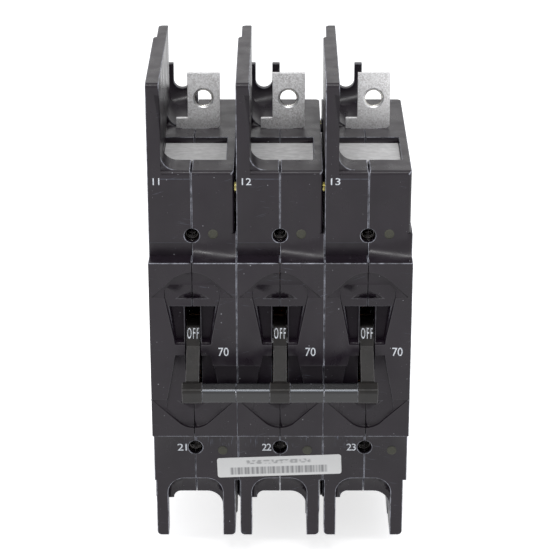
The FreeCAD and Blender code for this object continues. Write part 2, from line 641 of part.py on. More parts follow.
def arc_plate(y):
    """A steel splitter plate with a V mouth for the arm and two tabs each side."""
    half = CAVITY_RIGHT - ARC_FRAME_THICK - 0.25
    mouth_half = ARM_HALF + 1.6
    throat = ARC_PLATE_BOTTOM + ARC_MOUTH_REACH
    outline = mirrored([(1.0, throat), (mouth_half, ARC_PLATE_BOTTOM), (half, ARC_PLATE_BOTTOM),
                        (half, ARC_PLATE_TOP)])
    plate = front_profile(outline, y, y + ARC_PLATE_THICK)
    tabs = []
    reach = half + ARC_FRAME_THICK * 0.8
    for z in arc_tab_heights():
        tabs.append(box(-reach, reach, y, y + ARC_PLATE_THICK, z, z + ARC_TAB_HEIGHT))
    mouth = box(-half + 1, half - 1, y - 1, y + ARC_PLATE_THICK + 1, ARC_PLATE_BOTTOM - 1, ARC_PLATE_TOP - 1)
    tabs = [tab.cut(mouth) for tab in tabs]
    return fuse([plate] + tabs)


def arc_tab_heights():
    return [ARC_PLATE_BOTTOM + ARC_TAB_MARGIN, ARC_PLATE_TOP - ARC_TAB_MARGIN - ARC_TAB_HEIGHT]


def arc_plate_places():
    return [ARC_FIRST + ARC_PITCH * k for k in range(ARC_PLATES)]


def arc_plates():
    return Part.makeCompound([arc_plate(y) for y in arc_plate_places()])


def arc_frame():
    """The two fibre cheeks that hold the splitter plates."""
    back = arc_plate_places()[-1] + ARC_PLATE_THICK + 1.5
    outer = CAVITY_RIGHT - 0.2
    inner = outer - ARC_FRAME_THICK
    cheek = box(inner, outer, ARC_FRAME_FRONT, back, ARC_PLATE_BOTTOM, ARC_FRAME_TOP)
    slots = []
    for y in arc_plate_places():
        for z in arc_tab_heights():
            slots.append(box(inner - 1, outer + 1, y - FIT_GAP, y + ARC_PLATE_THICK + FIT_GAP,
                             z - FIT_GAP, z + ARC_TAB_HEIGHT + FIT_GAP))
    cheek = cut(cheek, slots)
    return Part.makeCompound([cheek, cheek.mirror(V(0, 0, 0), AXIS_X)])


def handle_pin():
    return rod(PIN_RADIUS, -HANDLE_PIN_HALF, HANDLE_PIN_HALF, HANDLE_Y, HANDLE_Z)


def arm_pin():
    return rod(ARM_PIN_RADIUS, -LEFT_SIDE + 1.1, RIGHT_SIDE - 1.1, ARM_Y, ARM_Z)


# ---------------------------------------------------------------- handle, tie and toggle link
def along_lever(reach, rise):
    """A point given along the lever and square to it, as (y, z) at the off position."""
    tilt = math.radians(HANDLE_TILT)
    y = HANDLE_Y - reach * math.cos(tilt) - rise * math.sin(tilt)
    z = HANDLE_Z - reach * math.sin(tilt) + rise * math.cos(tilt)
    return y, z


def link_pin_place():
    return along_lever(-LINK_PIN_REACH, 0)


def head_block(half_wide, shrink):
    """The bar-shaped head of a handle, or a sleeve of the same section."""
    half_long = HEAD_HALF_LONG - shrink
    half_tall = HEAD_HALF_TALL - shrink
    corners = [(HEAD_REACH + a * half_long, b * half_tall) for a, b in ((1, 1), (1, -1), (-1, -1), (-1, 1))]
    block = side_profile([along_lever(*corner) for corner in corners], -half_wide, half_wide)
    return block.makeFillet(HEAD_ROUND, edges_along(block, AXIS_X, lambda p: True))


def handle():
    drum = rod(DRUM_RADIUS, -DRUM_HALF, DRUM_HALF, HANDLE_Y, HANDLE_Z)
    outline = [(0, LEVER_ROOT_HALF), (LEVER_ROOT, LEVER_ROOT_HALF), (LEVER_TIP, LEVER_TIP_HALF),
               (HEAD_REACH, LEVER_TIP_HALF), (HEAD_REACH, -LEVER_TIP_HALF), (LEVER_TIP, -LEVER_TIP_HALF),
               (LEVER_ROOT, -LEVER_ROOT_HALF), (0, -LEVER_ROOT_HALF)]
    lever = side_profile([along_lever(*point) for point in outline], -DRUM_HALF, DRUM_HALF)
    solid = fuse([drum, lever, head_block(HEAD_HALF_WIDE, 0)])
    y, z = link_pin_place()
    rod_y, rod_z = along_lever(HEAD_REACH, 0)
    bores = [rod(PIN_RADIUS + FIT_GAP, -5, 5, HANDLE_Y, HANDLE_Z), rod(LINK_PIN_RADIUS + FIT_GAP / 2, -5, 5, y, z),
             rod(TIE_ROD_RADIUS + FIT_GAP, -5, 5, rod_y, rod_z)]
    return cut(solid, bores)


def tie_rod():
    end = POLE_CENTRES[-1] + HEAD_HALF_WIDE - 0.3
    y, z = along_lever(HEAD_REACH, 0)
    return rod(TIE_ROD_RADIUS, -end, end, y, z)


def tie_sleeves():
    """Two half sleeves between each pair of handle heads, meeting at the pole boundary."""
    y, z = along_lever(HEAD_REACH, 0)
    half = (POLE_PITCH / 2 - HEAD_HALF_WIDE - 0.15) / 2
    bore = rod(TIE_ROD_RADIUS + FIT_GAP, -half - 1, half + 1, y, z)
    sleeve = head_block(half, SLEEVE_SHRINK).cut(bore)
    sleeves = []
    for left, right in zip(POLE_CENTRES, POLE_CENTRES[1:]):
        sleeves.append(moved(sleeve, left + HEAD_HALF_WIDE + 0.08 + half))
        sleeves.append(moved(sleeve, right - HEAD_HALF_WIDE - 0.08 - half))
    return Part.makeCompound(sleeves)


def link_pin():
    y, z = link_pin_place()
    return rod(LINK_PIN_RADIUS, -LINK_INNER - LINK_THICK, LINK_INNER + LINK_THICK, y, z)


def arm_nose_place(angle):
    """Centre of the arm's nose pin; the angle is measured up from the line towards the handle."""
    reach = math.radians(angle)
    return ARM_Y - ARM_NOSE_REACH * math.cos(reach), ARM_Z + ARM_NOSE_REACH * math.sin(reach)


def toggle_link():
    """Two side links on the handle's pin, with a long hole for the arm's nose pin."""
    y0, z0 = link_pin_place()
    y1, z1 = arm_nose_place(-ARM_OPENING / 2)
    reach = math.hypot(y1 - y0, z1 - z0)
    slack = 1.45                       # the arm's pin comes this much nearer half way through the throw
    ends = [rod(LINK_ROUND, LINK_INNER, LINK_INNER + LINK_THICK, 0, 0),
            rod(LINK_ROUND, LINK_INNER, LINK_INNER + LINK_THICK, reach, 0),
            box(LINK_INNER, LINK_INNER + LINK_THICK, 0, reach, -LINK_ROUND, LINK_ROUND)]
    plate = fuse(ends)
    slot_half = LINK_PIN_RADIUS + 0.2
    slot = fuse([rod(slot_half, 0, 5, reach, 0), rod(slot_half, 0, 5, reach - slack, 0),
                 box(0, 5, reach - slack, reach, -slot_half, slot_half)])
    plate = cut(plate, [slot, rod(LINK_PIN_RADIUS + FIT_GAP, 0, 5, 0, 0)])
    pair = Part.makeCompound([plate, plate.mirror(V(0, 0, 0), AXIS_X)])
    pair.rotate(V(0, 0, 0), AXIS_X, math.degrees(math.atan2(z1 - z0, y1 - y0)))
    pair.translate(V(0, y0, z0))
    return pair


def contact_arm():
    """The moving arm, drawn closed against the fixed contact and then opened to the off position."""
    pad_face = TAB_Y - CONTACT_THICK - FREE_GAP
    pad_back = pad_face - CONTACT_THICK
    top = CONTACT_Z + CONTACT_RADIUS + 0.8
    half = ARM_THICK / 2
    blade = side_profile([(ARM_Y - half, ARM_Z), (ARM_Y + half + 0.6, ARM_Z), (pad_back, CONTACT_Z - 3.5),
                          (pad_back, top), (pad_back - ARM_THICK + 0.6, top),
                          (pad_back - ARM_THICK, CONTACT_Z - 3.5)], -ARM_HALF, ARM_HALF)
    hub = rod(ARM_HUB, -ARM_HALF, ARM_HALF, ARM_Y, ARM_Z)
    pad = hole_y(CONTACT_RADIUS, 0, CONTACT_Z, pad_back - 0.2, pad_face)
    y, z = arm_nose_place(ARM_OPENING / 2)
    nose = rod(ARM_NOSE_ROUND, -ARM_HALF, ARM_HALF, y, z)
    web = side_profile([(ARM_Y, ARM_Z - 2.6), (ARM_Y, ARM_Z + 2.6), (y, z + ARM_NOSE_ROUND),
                        (y, z - ARM_NOSE_ROUND)], -ARM_HALF, ARM_HALF)
    pin = rod(LINK_PIN_RADIUS, -LINK_INNER - LINK_THICK, LINK_INNER + LINK_THICK, y, z)
    arm = fuse([blade, hub, pad, nose, web, pin])
    arm = arm.cut(rod(ARM_PIN_RADIUS + FIT_GAP, -5, 5, ARM_Y, ARM_Z))
    return turned(arm, ARM_OPENING, ARM_Y, ARM_Z)


# ---------------------------------------------------------------- magnet: coil, delay tube, frame, armature
def coil():
    """The winding on its bobbin, with its two leads."""
    winding = hole_z(COIL_RADIUS, 0, COIL_Y, COIL_BOTTOM, COIL_TOP)
    flanges = [hole_z(COIL_FLANGE, 0, COIL_Y, COIL_BOTTOM, COIL_BOTTOM + COIL_FLANGE_THICK),
               hole_z(COIL_FLANGE, 0, COIL_Y, COIL_TOP - COIL_FLANGE_THICK, COIL_TOP)]
    y = COIL_Y - COIL_RADIUS - 0.6
    turn = LOAD_STEM_TOP - 2.5
    drop = hole_z(LEAD_RADIUS, 0, y, turn - LEAD_RADIUS, COIL_BOTTOM + 4)
    tail = hole_y(LEAD_RADIUS, 0, turn, y, TAB_Y + LOAD_TAB_SHIFT)
    solid = fuse([winding] + flanges + [drop, tail])
    bore = hole_z(TUBE_RADIUS + FIT_GAP, 0, COIL_Y, COIL_BOTTOM - 1, COIL_TOP + 1)
    return solid.cut(bore)


def delay_tube():
    """The sealed tube with its pole piece at the top."""
    tube = hole_z(TUBE_RADIUS, 0, COIL_Y, TUBE_BOTTOM, POLE_TOP)
    inside = hole_z(TUBE_RADIUS - TUBE_WALL, 0, COIL_Y, TUBE_BOTTOM + TUBE_WALL, POLE_TOP - POLE_THICK)
    return tube.cut(inside)


def core_bottom():
    return TUBE_BOTTOM + TUBE_WALL + FREE_GAP


def delay_core():
    core = hole_z(CORE_RADIUS, 0, COIL_Y, core_bottom(), core_bottom() + CORE_LENGTH)
    ends = [edge for edge in core.Edges if isinstance(edge.Curve, Part.Circle)]
    return core.makeChamfer(0.4, ends)


def core_spring():
    """The light spring over the core, from the core's top to the pole piece, with facets along its wire."""
    bottom = core_bottom() + CORE_LENGTH + FREE_GAP + SPRING_WIRE
    top = POLE_TOP - POLE_THICK - FREE_GAP - SPRING_WIRE
    radius = CORE_RADIUS - SPRING_WIRE - 0.1
    steps = SPRING_TURNS * SPRING_FACETS
    path = []
    for k in range(steps + 1):
        turn = 2 * math.pi * k / SPRING_FACETS
        path.append(V(radius * math.cos(turn), radius * math.sin(turn), bottom + (top - bottom) * k / steps))
    ring = [V(radius + a * SPRING_WIRE, 0, bottom + b * SPRING_WIRE) for a, b in ((1, 0), (0, 1), (-1, 0), (0, -1))]
    sweep = Part.BRepOffsetAPI.MakePipeShell(Part.makePolygon(path))
    sweep.setTransitionMode(1)
    sweep.add(Part.Wire(Part.makePolygon(ring + ring[:1])), False, True)
    sweep.build()
    sweep.makeSolid()
    spring = sweep.shape()
    spring.translate(V(0, COIL_Y, 0))
    return spring


def hinge_height():
    return POLE_TOP + FREE_GAP


def magnet_frame():
    """The bent steel frame: a foot under the coil, a back leg, and two posts that locate the armature."""
    foot_top = COIL_BOTTOM - 0.2
    foot = box(-FRAME_HALF, FRAME_HALF, FRAME_FRONT, FRAME_BACK, foot_top - FRAME_THICK, foot_top)
    ears = box(-CAVITY_RIGHT + 0.2, CAVITY_RIGHT - 0.2, COIL_Y - 3, COIL_Y + 3, foot_top - FRAME_THICK, foot_top)
    back = box(-FRAME_HALF, FRAME_HALF, FRAME_BACK - FRAME_THICK, FRAME_BACK, foot_top - FRAME_THICK, POLE_TOP)
    posts = []
    for side in (1, -1):
        x0, x1 = sorted((side * POST_INNER, side * (FRAME_HALF - 0.5)))
        posts.append(box(x0, x1, FRAME_BACK - FRAME_THICK, FRAME_BACK, POLE_TOP - 1, POLE_TOP + POST_HEIGHT))
    solid = fuse([foot, ears, back] + posts)
    return solid.cut(hole_z(TUBE_RADIUS + FIT_GAP, 0, COIL_Y, TUBE_BOTTOM, COIL_BOTTOM))


def armature():
    """The flat armature over the pole piece, drawn attracted and then let up to its open position."""
    z0 = hinge_height()
    z1 = z0 + ARMATURE_THICK
    plate = box(-FRAME_HALF, FRAME_HALF, ARMATURE_FRONT, FRAME_BACK + 0.6, z0, z1)
    tail = box(-ARMATURE_TAIL_HALF, ARMATURE_TAIL_HALF, ARMATURE_TAIL, ARMATURE_FRONT + 1, z0, z1)
    notches = []
    for side in (1, -1):
        x0, x1 = sorted((side * (POST_INNER - 0.4), side * (FRAME_HALF + 1)))
        notches.append(box(x0, x1, FRAME_BACK - FRAME_THICK - 0.6, FRAME_BACK + 2, z0 - 1, z1 + 1))
    solid = cut(fuse([plate, tail]), notches)
    return turned(solid, -ARMATURE_LIFT, FRAME_BACK - FRAME_THICK / 2, z0)


def pigtail():
    """The flexible braid from beside the arm's hub to the top of the coil."""
    radius = 1.1
    points = [V(5.4, ARM_Y + 1.5, -8.6), V(5.4, 33.0, -16.5), V(5.4, 36.2, -24.0), V(5.4, COIL_Y - 7.9, -26.6)]
    solids = []
    for start, end in zip(points, points[1:]):
        solids.append(Part.makeCylinder(radius, (end - start).Length, start, end - start))
    for point in points[1:-1]:
        solids.append(Part.makeSphere(radius, point))
    return fuse(solids)


def trip_bar():
    """The common trip bar with one finger under each armature tail."""
    end = POLE_CENTRES[-1] + TRIP_BAR_END
    bar = rod(TRIP_RADIUS, -end, end, TRIP_Y, TRIP_Z)
    fingers = []
    for centre in POLE_CENTRES:
        hub = rod(TRIP_RADIUS + 1.2, centre - 2.0, centre + 2.0, TRIP_Y, TRIP_Z)
        finger = side_profile([(TRIP_Y, TRIP_Z - 1.4), (TRIP_Y + TRIP_FINGER, TRIP_Z - 0.4),
                               (TRIP_Y + TRIP_FINGER + 1, TRIP_Z + 0.6), (TRIP_Y + TRIP_FINGER, TRIP_Z + 1.0),
                               (TRIP_Y, TRIP_Z + 1.8)], centre - 1.5, centre + 1.5)
        fingers += [hub, finger]
    return fuse([bar] + fingers)


# ---------------------------------------------------------------- write every node
def main():
    os.makedirs("parts", exist_ok=True)
    per_pole = {"vent_sheet": vent_sheet(), "line_terminal": line_terminal(), "load_terminal": load_terminal(),
                "arc_plates": arc_plates(), "arc_frame": arc_frame(), "handle": handle(),
                "toggle_link": toggle_link(), "contact_arm": contact_arm(), "coil": coil(),
                "delay_tube": delay_tube(), "delay_core": delay_core(), "core_spring": core_spring(),
                "magnet_frame": magnet_frame(), "armature": armature(), "pigtail": pigtail()}
    for index, centre in enumerate(POLE_CENTRES):
        left, right = pole_case(index)
        save(moved(left, centre), f"case_left_{index + 1}")
        save(moved(right, centre), f"case_right_{index + 1}")
        for name, shape in per_pole.items():
            save(moved(shape, centre), f"{name}_{index + 1}")
    insert_heights = (-SCREW_SPACING_Z / 2, SCREW_SPACING_Z / 2)
    groups = {
        "mounting_inserts": [moved(mounting_insert(z), x) for x in POLE_CENTRES for z in insert_heights],
        "case_rivets": [case_rivet(y, z) for y, z in RIVET_PLACES],
        "handle_pins": [moved(handle_pin(), x) for x in POLE_CENTRES],
        "arm_pins": [moved(arm_pin(), x) for x in POLE_CENTRES],
        "link_pins": [moved(link_pin(), x) for x in POLE_CENTRES],
    }
    for name, solids in groups.items():
        save(Part.makeCompound(solids), name)
    save(tie_rod(), "tie_rod")
    save(tie_sleeves(), "tie_sleeves")
    save(trip_bar(), "trip_bar")


main()
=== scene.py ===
# %% [markdown]
# # A three-pole circuit breaker
# Three moulded poles stand side by side, joined by rivets and by one bar through their handles.
# The solid parts come from a CAD model. This lesson dresses them: soft edges, moulded plastic,
# plated metal, threads and printed marks.
# Everything is in metres, in the model's own frame: X across the poles, Y towards the back, Z up.

# %% Load the frame
import math
import json

import bpy
import bmesh
import numpy as np
from mathutils import Matrix, Vector
from mathutils.geometry import delaunay_2d_cdt


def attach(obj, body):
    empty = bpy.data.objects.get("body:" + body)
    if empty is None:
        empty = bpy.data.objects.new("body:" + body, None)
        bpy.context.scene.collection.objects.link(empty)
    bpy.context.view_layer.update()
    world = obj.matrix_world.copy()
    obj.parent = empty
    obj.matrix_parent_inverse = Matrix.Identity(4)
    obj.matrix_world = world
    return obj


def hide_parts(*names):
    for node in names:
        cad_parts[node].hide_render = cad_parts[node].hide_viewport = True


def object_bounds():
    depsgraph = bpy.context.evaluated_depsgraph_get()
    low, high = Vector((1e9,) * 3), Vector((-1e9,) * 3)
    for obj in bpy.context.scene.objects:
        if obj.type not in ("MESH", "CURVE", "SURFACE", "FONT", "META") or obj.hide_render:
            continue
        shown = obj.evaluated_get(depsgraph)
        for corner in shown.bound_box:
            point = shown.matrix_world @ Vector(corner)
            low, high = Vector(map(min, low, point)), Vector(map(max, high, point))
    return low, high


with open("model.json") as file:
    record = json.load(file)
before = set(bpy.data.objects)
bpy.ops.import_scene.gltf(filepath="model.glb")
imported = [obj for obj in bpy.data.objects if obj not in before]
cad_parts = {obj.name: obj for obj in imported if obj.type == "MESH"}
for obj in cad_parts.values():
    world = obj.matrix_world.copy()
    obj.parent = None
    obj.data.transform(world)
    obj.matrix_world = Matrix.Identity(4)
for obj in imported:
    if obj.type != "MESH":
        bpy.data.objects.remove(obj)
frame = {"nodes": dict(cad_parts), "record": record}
cad_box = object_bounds()
MM = 0.001
PITCH = 25.4 * MM
HALF_PITCH = PITCH / 2
POLES = (-PITCH, 0.0, PITCH)

# %% [markdown]
# ## Placing things
# Everything made here stands at the origin, and its place is in its mesh. So a new thing only has
# to be linked to the scene, and a closed mesh only needs its faces turned outward.

# %% Placing helpers
def placed(name, data):
    made = bpy.data.objects.new(name, data)
    bpy.context.scene.collection.objects.link(made)
    return made


def plain_mesh(made):
    """What an object's modifiers or its text make, as a mesh."""
    bpy.context.view_layer.update()
    return bpy.data.meshes.new_from_object(made.evaluated_get(bpy.context.evaluated_depsgraph_get()))


def closed_mesh(name, vertices, faces, surfaces):
    """A mesh whose faces all look outward, with its surfaces."""
    mesh = bpy.data.meshes.new(name)
    mesh.from_pydata(vertices, [], faces)
    shape = bmesh.new()
    shape.from_mesh(mesh)
    bmesh.ops.recalc_face_normals(shape, faces=shape.faces)
    shape.to_mesh(mesh)
    shape.free()
    for surface in surfaces:
        mesh.materials.append(surface)
    return mesh


print("poles at X:", [round(x / MM, 1) for x in POLES], "mm")

# %% [markdown]
# ## The camera
# A long lens a little above the breaker looks down on its face. A long lens keeps parallel edges
# nearly parallel, so the breaker looks as it does on a bench a good step away.

# %% Camera
CAMERA_PLACE = (0.0, -0.5748, 0.2675)
CAMERA_PITCH = 23.26
LENS = 138.4

camera = placed("camera", bpy.data.cameras.new("camera"))
camera.location = CAMERA_PLACE
camera.rotation_euler = (math.radians(90 - CAMERA_PITCH), 0, 0)
camera.data.lens = LENS
camera.data.clip_start = 0.01
bpy.context.scene.camera = camera
bpy.context.scene.view_settings.view_transform = "Standard"
print("camera looks down by", CAMERA_PITCH, "degrees")

# %% [markdown]
# ## Helpers for node trees
# Every finish below is a small tree of nodes. These helpers keep each tree short: one makes a node
# and fills or links its sockets by name, and the others make what nearly all finishes need: a
# noise, a range, a mix of two colours and a sum. All noises read Object coordinates, in metres.

# %% Node helpers
def link(tree, source, target):
    tree.links.new(source, target)


def node(tree, kind, **values):
    """A new node. Each value goes to its attribute or socket; another node's output is linked."""
    made = tree.nodes.new(kind)
    for key, value in values.items():
        if hasattr(made, key):
            setattr(made, key, value)
        elif isinstance(value, bpy.types.NodeSocket):
            link(tree, value, made.inputs[key.replace("_", " ")])
        else:
            made.inputs[key.replace("_", " ")].default_value = value
    return made


def new_finish(name, colour, roughness, **sockets):
    """A material with its shader, and the object coordinates that its patterns read."""
    material = bpy.data.materials.new(name)
    material.use_nodes = True
    tree = material.node_tree
    shader = tree.nodes["Principled BSDF"]
    shader.inputs["Base Color"].default_value = (*colour, 1)
    shader.inputs["Roughness"].default_value = roughness
    for key, value in sockets.items():
        shader.inputs[key.replace("_", " ")].default_value = value
    place = node(tree, "ShaderNodeTexCoord").outputs["Object"]
    return material, tree, shader, place


def paint(tree, shader, colour, roughness):
    link(tree, colour, shader.inputs["Base Color"])
    link(tree, roughness, shader.inputs["Roughness"])


print("a finish starts with a shader, its colour and its roughness")

# %% [markdown]
# A pattern could be painted, but a noise in metres needs no unwrapping and keeps its real size on
# every piece. Sums of such patterns then say where a surface is pale, dull or raised.

# %% Patterns and sums
def noise(tree, place, size, detail=3.0, stretch=(1, 1, 1), turn=(0, 0, 0)):
    """Noise whose blotches are about size across; stretch makes them longer along an axis."""
    scale = tuple(1 / (size * s) for s in stretch)
    mapping = node(tree, "ShaderNodeMapping", Rotation=turn, Scale=scale, Vector=place)
    return node(tree, "ShaderNodeTexNoise", Scale=1.0, Detail=detail, Vector=mapping.outputs[0]).outputs[0]


def spread(tree, value, low, high, first=0.0, last=1.0):
    """Maps low..high to first..last and stops at both ends."""
    made = node(tree, "ShaderNodeMapRange")
    for index, number in enumerate((low, high, first, last), start=1):
        made.inputs[index].default_value = number
    link(tree, value, made.inputs[0])
    return made.outputs[0]


def blend_colours(tree, factor, first, second):
    made = node(tree, "ShaderNodeMix", data_type="RGBA", Factor=factor)
    for socket, colour in ((made.inputs[6], first), (made.inputs[7], second)):
        if isinstance(colour, tuple):
            socket.default_value = (*colour, 1)
        else:
            link(tree, colour, socket)
    return made.outputs[2]


def calculate(tree, operation, *terms):
    made = node(tree, "ShaderNodeMath", operation=operation)
    for socket, term in zip(made.inputs, terms):
        if isinstance(term, (int, float)):
            socket.default_value = term
        else:
            link(tree, term, socket)
    return made.outputs[0]


def times(tree, *terms):
    result = terms[0]
    for term in terms[1:]:
        result = calculate(tree, "MULTIPLY", result, term)
    return result


def largest(tree, *terms):
    result = terms[0]
    for term in terms[1:]:
        result = calculate(tree, "MAXIMUM", result, term)
    return result


def raise_surface(tree, shader, height, distance, strength=1.0):
    bump = node(tree, "ShaderNodeBump", Distance=distance, Strength=strength, Height=height)
    link(tree, bump.outputs[0], shader.inputs["Normal"])


print("patterns read Object coordinates; 1 unit is 1 m")

# %% [markdown]
# ## Floor and light
# The breaker stands on a white floor in a white room. A black satin object shows mostly what it
# mirrors, so camera, glossy and transmission rays all see white there, while the diffuse light of
# the room stays at a plain level. The floor keeps its shading under that lift, and so its shadow.

# %% What is seen directly
LIFT = 0.70
FLOOR_GAP = 0.5 * MM
FLOOR_HALF = 4.0


def seen_directly(tree):
    """1 for rays from the camera and for mirror and glass rays."""
    path = node(tree, "ShaderNodeLightPath").outputs
    return largest(tree, path["Is Camera Ray"], path["Is Glossy Ray"], path["Is Transmission Ray"])


def mix_shaders(tree, first, second):
    """The second shader for what is seen directly, the first for all other light."""
    mix = node(tree, "ShaderNodeMixShader")
    for source, socket in zip((seen_directly(tree), first, second), mix.inputs):
        link(tree, source, socket)
    return mix.outputs[0]


print("lift of what is seen directly:", LIFT)

# %% [markdown]
# The floor is a plain diffuse sheet. It could be left out, but then the breaker would float
# without a shadow.

# %% Floor
def white_floor(name):
    material = bpy.data.materials.new(name)
    material.use_nodes = True
    tree = material.node_tree
    tree.nodes.clear()
    diffuse = node(tree, "ShaderNodeBsdfDiffuse", Color=(0.8, 0.8, 0.8, 1))
    lift = node(tree, "ShaderNodeEmission", Color=(1, 1, 1, 1), Strength=LIFT)
    both = node(tree, "ShaderNodeAddShader")
    link(tree, diffuse.outputs[0], both.inputs[0])
    link(tree, lift.outputs[0], both.inputs[1])
    node(tree, "ShaderNodeOutputMaterial", Surface=mix_shaders(tree, diffuse.outputs[0], both.outputs[0]))
    return material


floor_height = cad_box[0][2] - FLOOR_GAP
corners = [(x * FLOOR_HALF, y * FLOOR_HALF, floor_height) for x, y in ((-1, -1), (1, -1), (1, 1), (-1, 1))]
mesh = bpy.data.meshes.new("floor")
mesh.from_pydata(corners, [], [(0, 1, 2, 3)])
mesh.materials.append(white_floor("floor_white"))
floor = placed("floor", mesh)

print("floor at", round(floor_height / MM, 2), "mm")

# %% [markdown]
# The room is lit evenly, and two softboxes shape the black plastic: a strip above draws the
# highlights along the rounds, and a weak one from the left front opens the shaded side.

# %% Room and softboxes
world = bpy.data.worlds.new("room")
bpy.context.scene.world = world
world.use_nodes = True
tree = world.node_tree
tree.nodes.clear()
room = node(tree, "ShaderNodeBackground", Color=(0.96, 0.97, 1.0, 1), Strength=LIFT)
white = node(tree, "ShaderNodeBackground", Color=(1, 1, 1, 1), Strength=1.0)
node(tree, "ShaderNodeOutputWorld", Surface=mix_shaders(tree, room.outputs[0], white.outputs[0]))


def softbox(name, place, target, size, power):
    lamp = bpy.data.lights.new(name, "AREA")
    lamp.shape = "RECTANGLE"
    lamp.size, lamp.size_y = size
    lamp.energy = power
    made = placed(name, lamp)
    made.location = place
    made.rotation_euler = (Vector(target) - Vector(place)).to_track_quat("-Z", "Y").to_euler()
    return made


softbox("strip_above", (0.0, -0.38, 0.92), (0, 0, 0), (0.60, 0.13), 3.6)
softbox("left_front", (-0.8, -0.5, 0.45), (0, 0, 0), (0.5, 0.5), 1.2)
print("lamps:", len(bpy.data.lights))

# %% [markdown]
# ## Black moulding
# The case is pressed from black phenolic. Its skin is satin, almost a mirror at a low angle, with
# cloudy patches where it was rubbed, pale dust, and thin bluish scratches. Colour, roughness and
# bump all come from the same few noises, so that a speck is pale, dull and raised at once.

# %% Dust and scratches
BLACK = (0.0102, 0.0068, 0.0109)
RUBBED_BLACK = (0.0150, 0.0104, 0.0160)
DUST = (0.26, 0.26, 0.28)
SCRATCH = (0.12, 0.13, 0.17)
WORN_AND_LIT = (0.42, 0.43, 0.49)


def dust_specks(tree, place, cell, chance):
    """Pale specks: one in each lucky cell of a Voronoi pattern."""
    mapping = node(tree, "ShaderNodeMapping", Scale=(1 / cell,) * 3, Vector=place)
    cells = node(tree, "ShaderNodeTexVoronoi", Scale=1.0, Vector=mapping.outputs[0])
    lucky = node(tree, "ShaderNodeSeparateColor", Color=cells.outputs["Color"])
    size = spread(tree, lucky.outputs[0], 1 - chance, 1.0, 0.0, 0.13)
    inside = calculate(tree, "SUBTRACT", size, cells.outputs["Distance"])
    return spread(tree, inside, 0.0, 0.03)


def scratches(tree, place, angle, seed):
    """Thin long streaks in the plane of X and Z, turned from upright by an angle."""
    turned = node(tree, "ShaderNodeVectorRotate", rotation_type="Y_AXIS", Angle=angle, Vector=place)
    moved = node(tree, "ShaderNodeVectorMath", operation="ADD")
    moved.inputs[1].default_value = (seed, seed, seed)
    link(tree, turned.outputs[0], moved.inputs[0])
    streaks = noise(tree, moved.outputs[0], 0.16 * MM, 1.0, (1, 30, 45))
    patches = noise(tree, moved.outputs[0], 7 * MM, 1.0)
    return times(tree, spread(tree, streaks, 0.72, 0.78), spread(tree, patches, 0.54, 0.66, 0.0, 0.7))


print("dust and scratches are no wider than a few tenths of a millimetre")

# %% [markdown]
# Fine pale lines run along small steps of the front: partly mould lines where the mould's blocks met,
# partly a painted highlight where a step catches the light. Tools scuff the face under the panel. Both sit
# in fixed places on every pole, so they are ranges of depth and height. They are too shallow to be worth
# cutting into the mesh.

# %% Mould lines, painted step highlights and scuffs
def pole_coordinates(tree, place):
    """How far a point is to the right of its pole's middle, its depth and its height."""
    parts = node(tree, "ShaderNodeSeparateXYZ", Vector=place).outputs
    return calculate(tree, "WRAP", parts[0], HALF_PITCH, -HALF_PITCH), parts[1], parts[2]


def between(tree, value, low, high, soft):
    """1 from low to high, and 0 beyond a soft margin on each side."""
    rise = spread(tree, value, low - soft, low)
    fall = spread(tree, value, high, high + soft, 1.0, 0.0)
    return times(tree, rise, fall)


def mould_lines_and_highlights(tree, place):
    """Fine pale lines across the front along small steps: mould lines, and a painted highlight where a step
    catches the light.
    """
    across, depth, height = pole_coordinates(tree, place)
    left_half = spread(tree, across, -0.2 * MM, -0.1 * MM, 1.0, 0.0)
    clear_of_barrier = spread(tree, across, -8.9 * MM, -8.8 * MM)
    face_line, rim_line, bend_line = [between(tree, height, low * MM, high * MM, 0.05 * MM)
                                      for low, high in ((32.0, 32.12), (51.65, 51.75), (27.9, 27.95))]
    found = largest(tree, times(tree, face_line, left_half), times(tree, bend_line, 0.35),
                    times(tree, rim_line, left_half, clear_of_barrier))
    front = spread(tree, depth, 2.6 * MM, 2.8 * MM, 1.0, 0.0)
    worn = noise(tree, place, 1.6 * MM, 4.0)
    return times(tree, found, front, spread(tree, worn, 0.3, 0.5, 0.45, 1.0))


def low_scuffs(tree, place):
    """Pale slanting scuffs on the face just below the raised panel."""
    _, depth, height = pole_coordinates(tree, place)
    scuffs = noise(tree, place, 0.35 * MM, 2.0, (1, 10, 9), (0, 0.75, 0))
    patches = noise(tree, place, 5 * MM, 1.0)
    return times(tree, spread(tree, scuffs, 0.56, 0.72), spread(tree, patches, 0.45, 0.6),
                 between(tree, height, -33 * MM, -28.6 * MM, 1.5 * MM),
                 spread(tree, depth, 0.5 * MM, 1 * MM, 1.0, 0.0))


print("mould lines repeat every", round(PITCH / MM, 1), "mm")
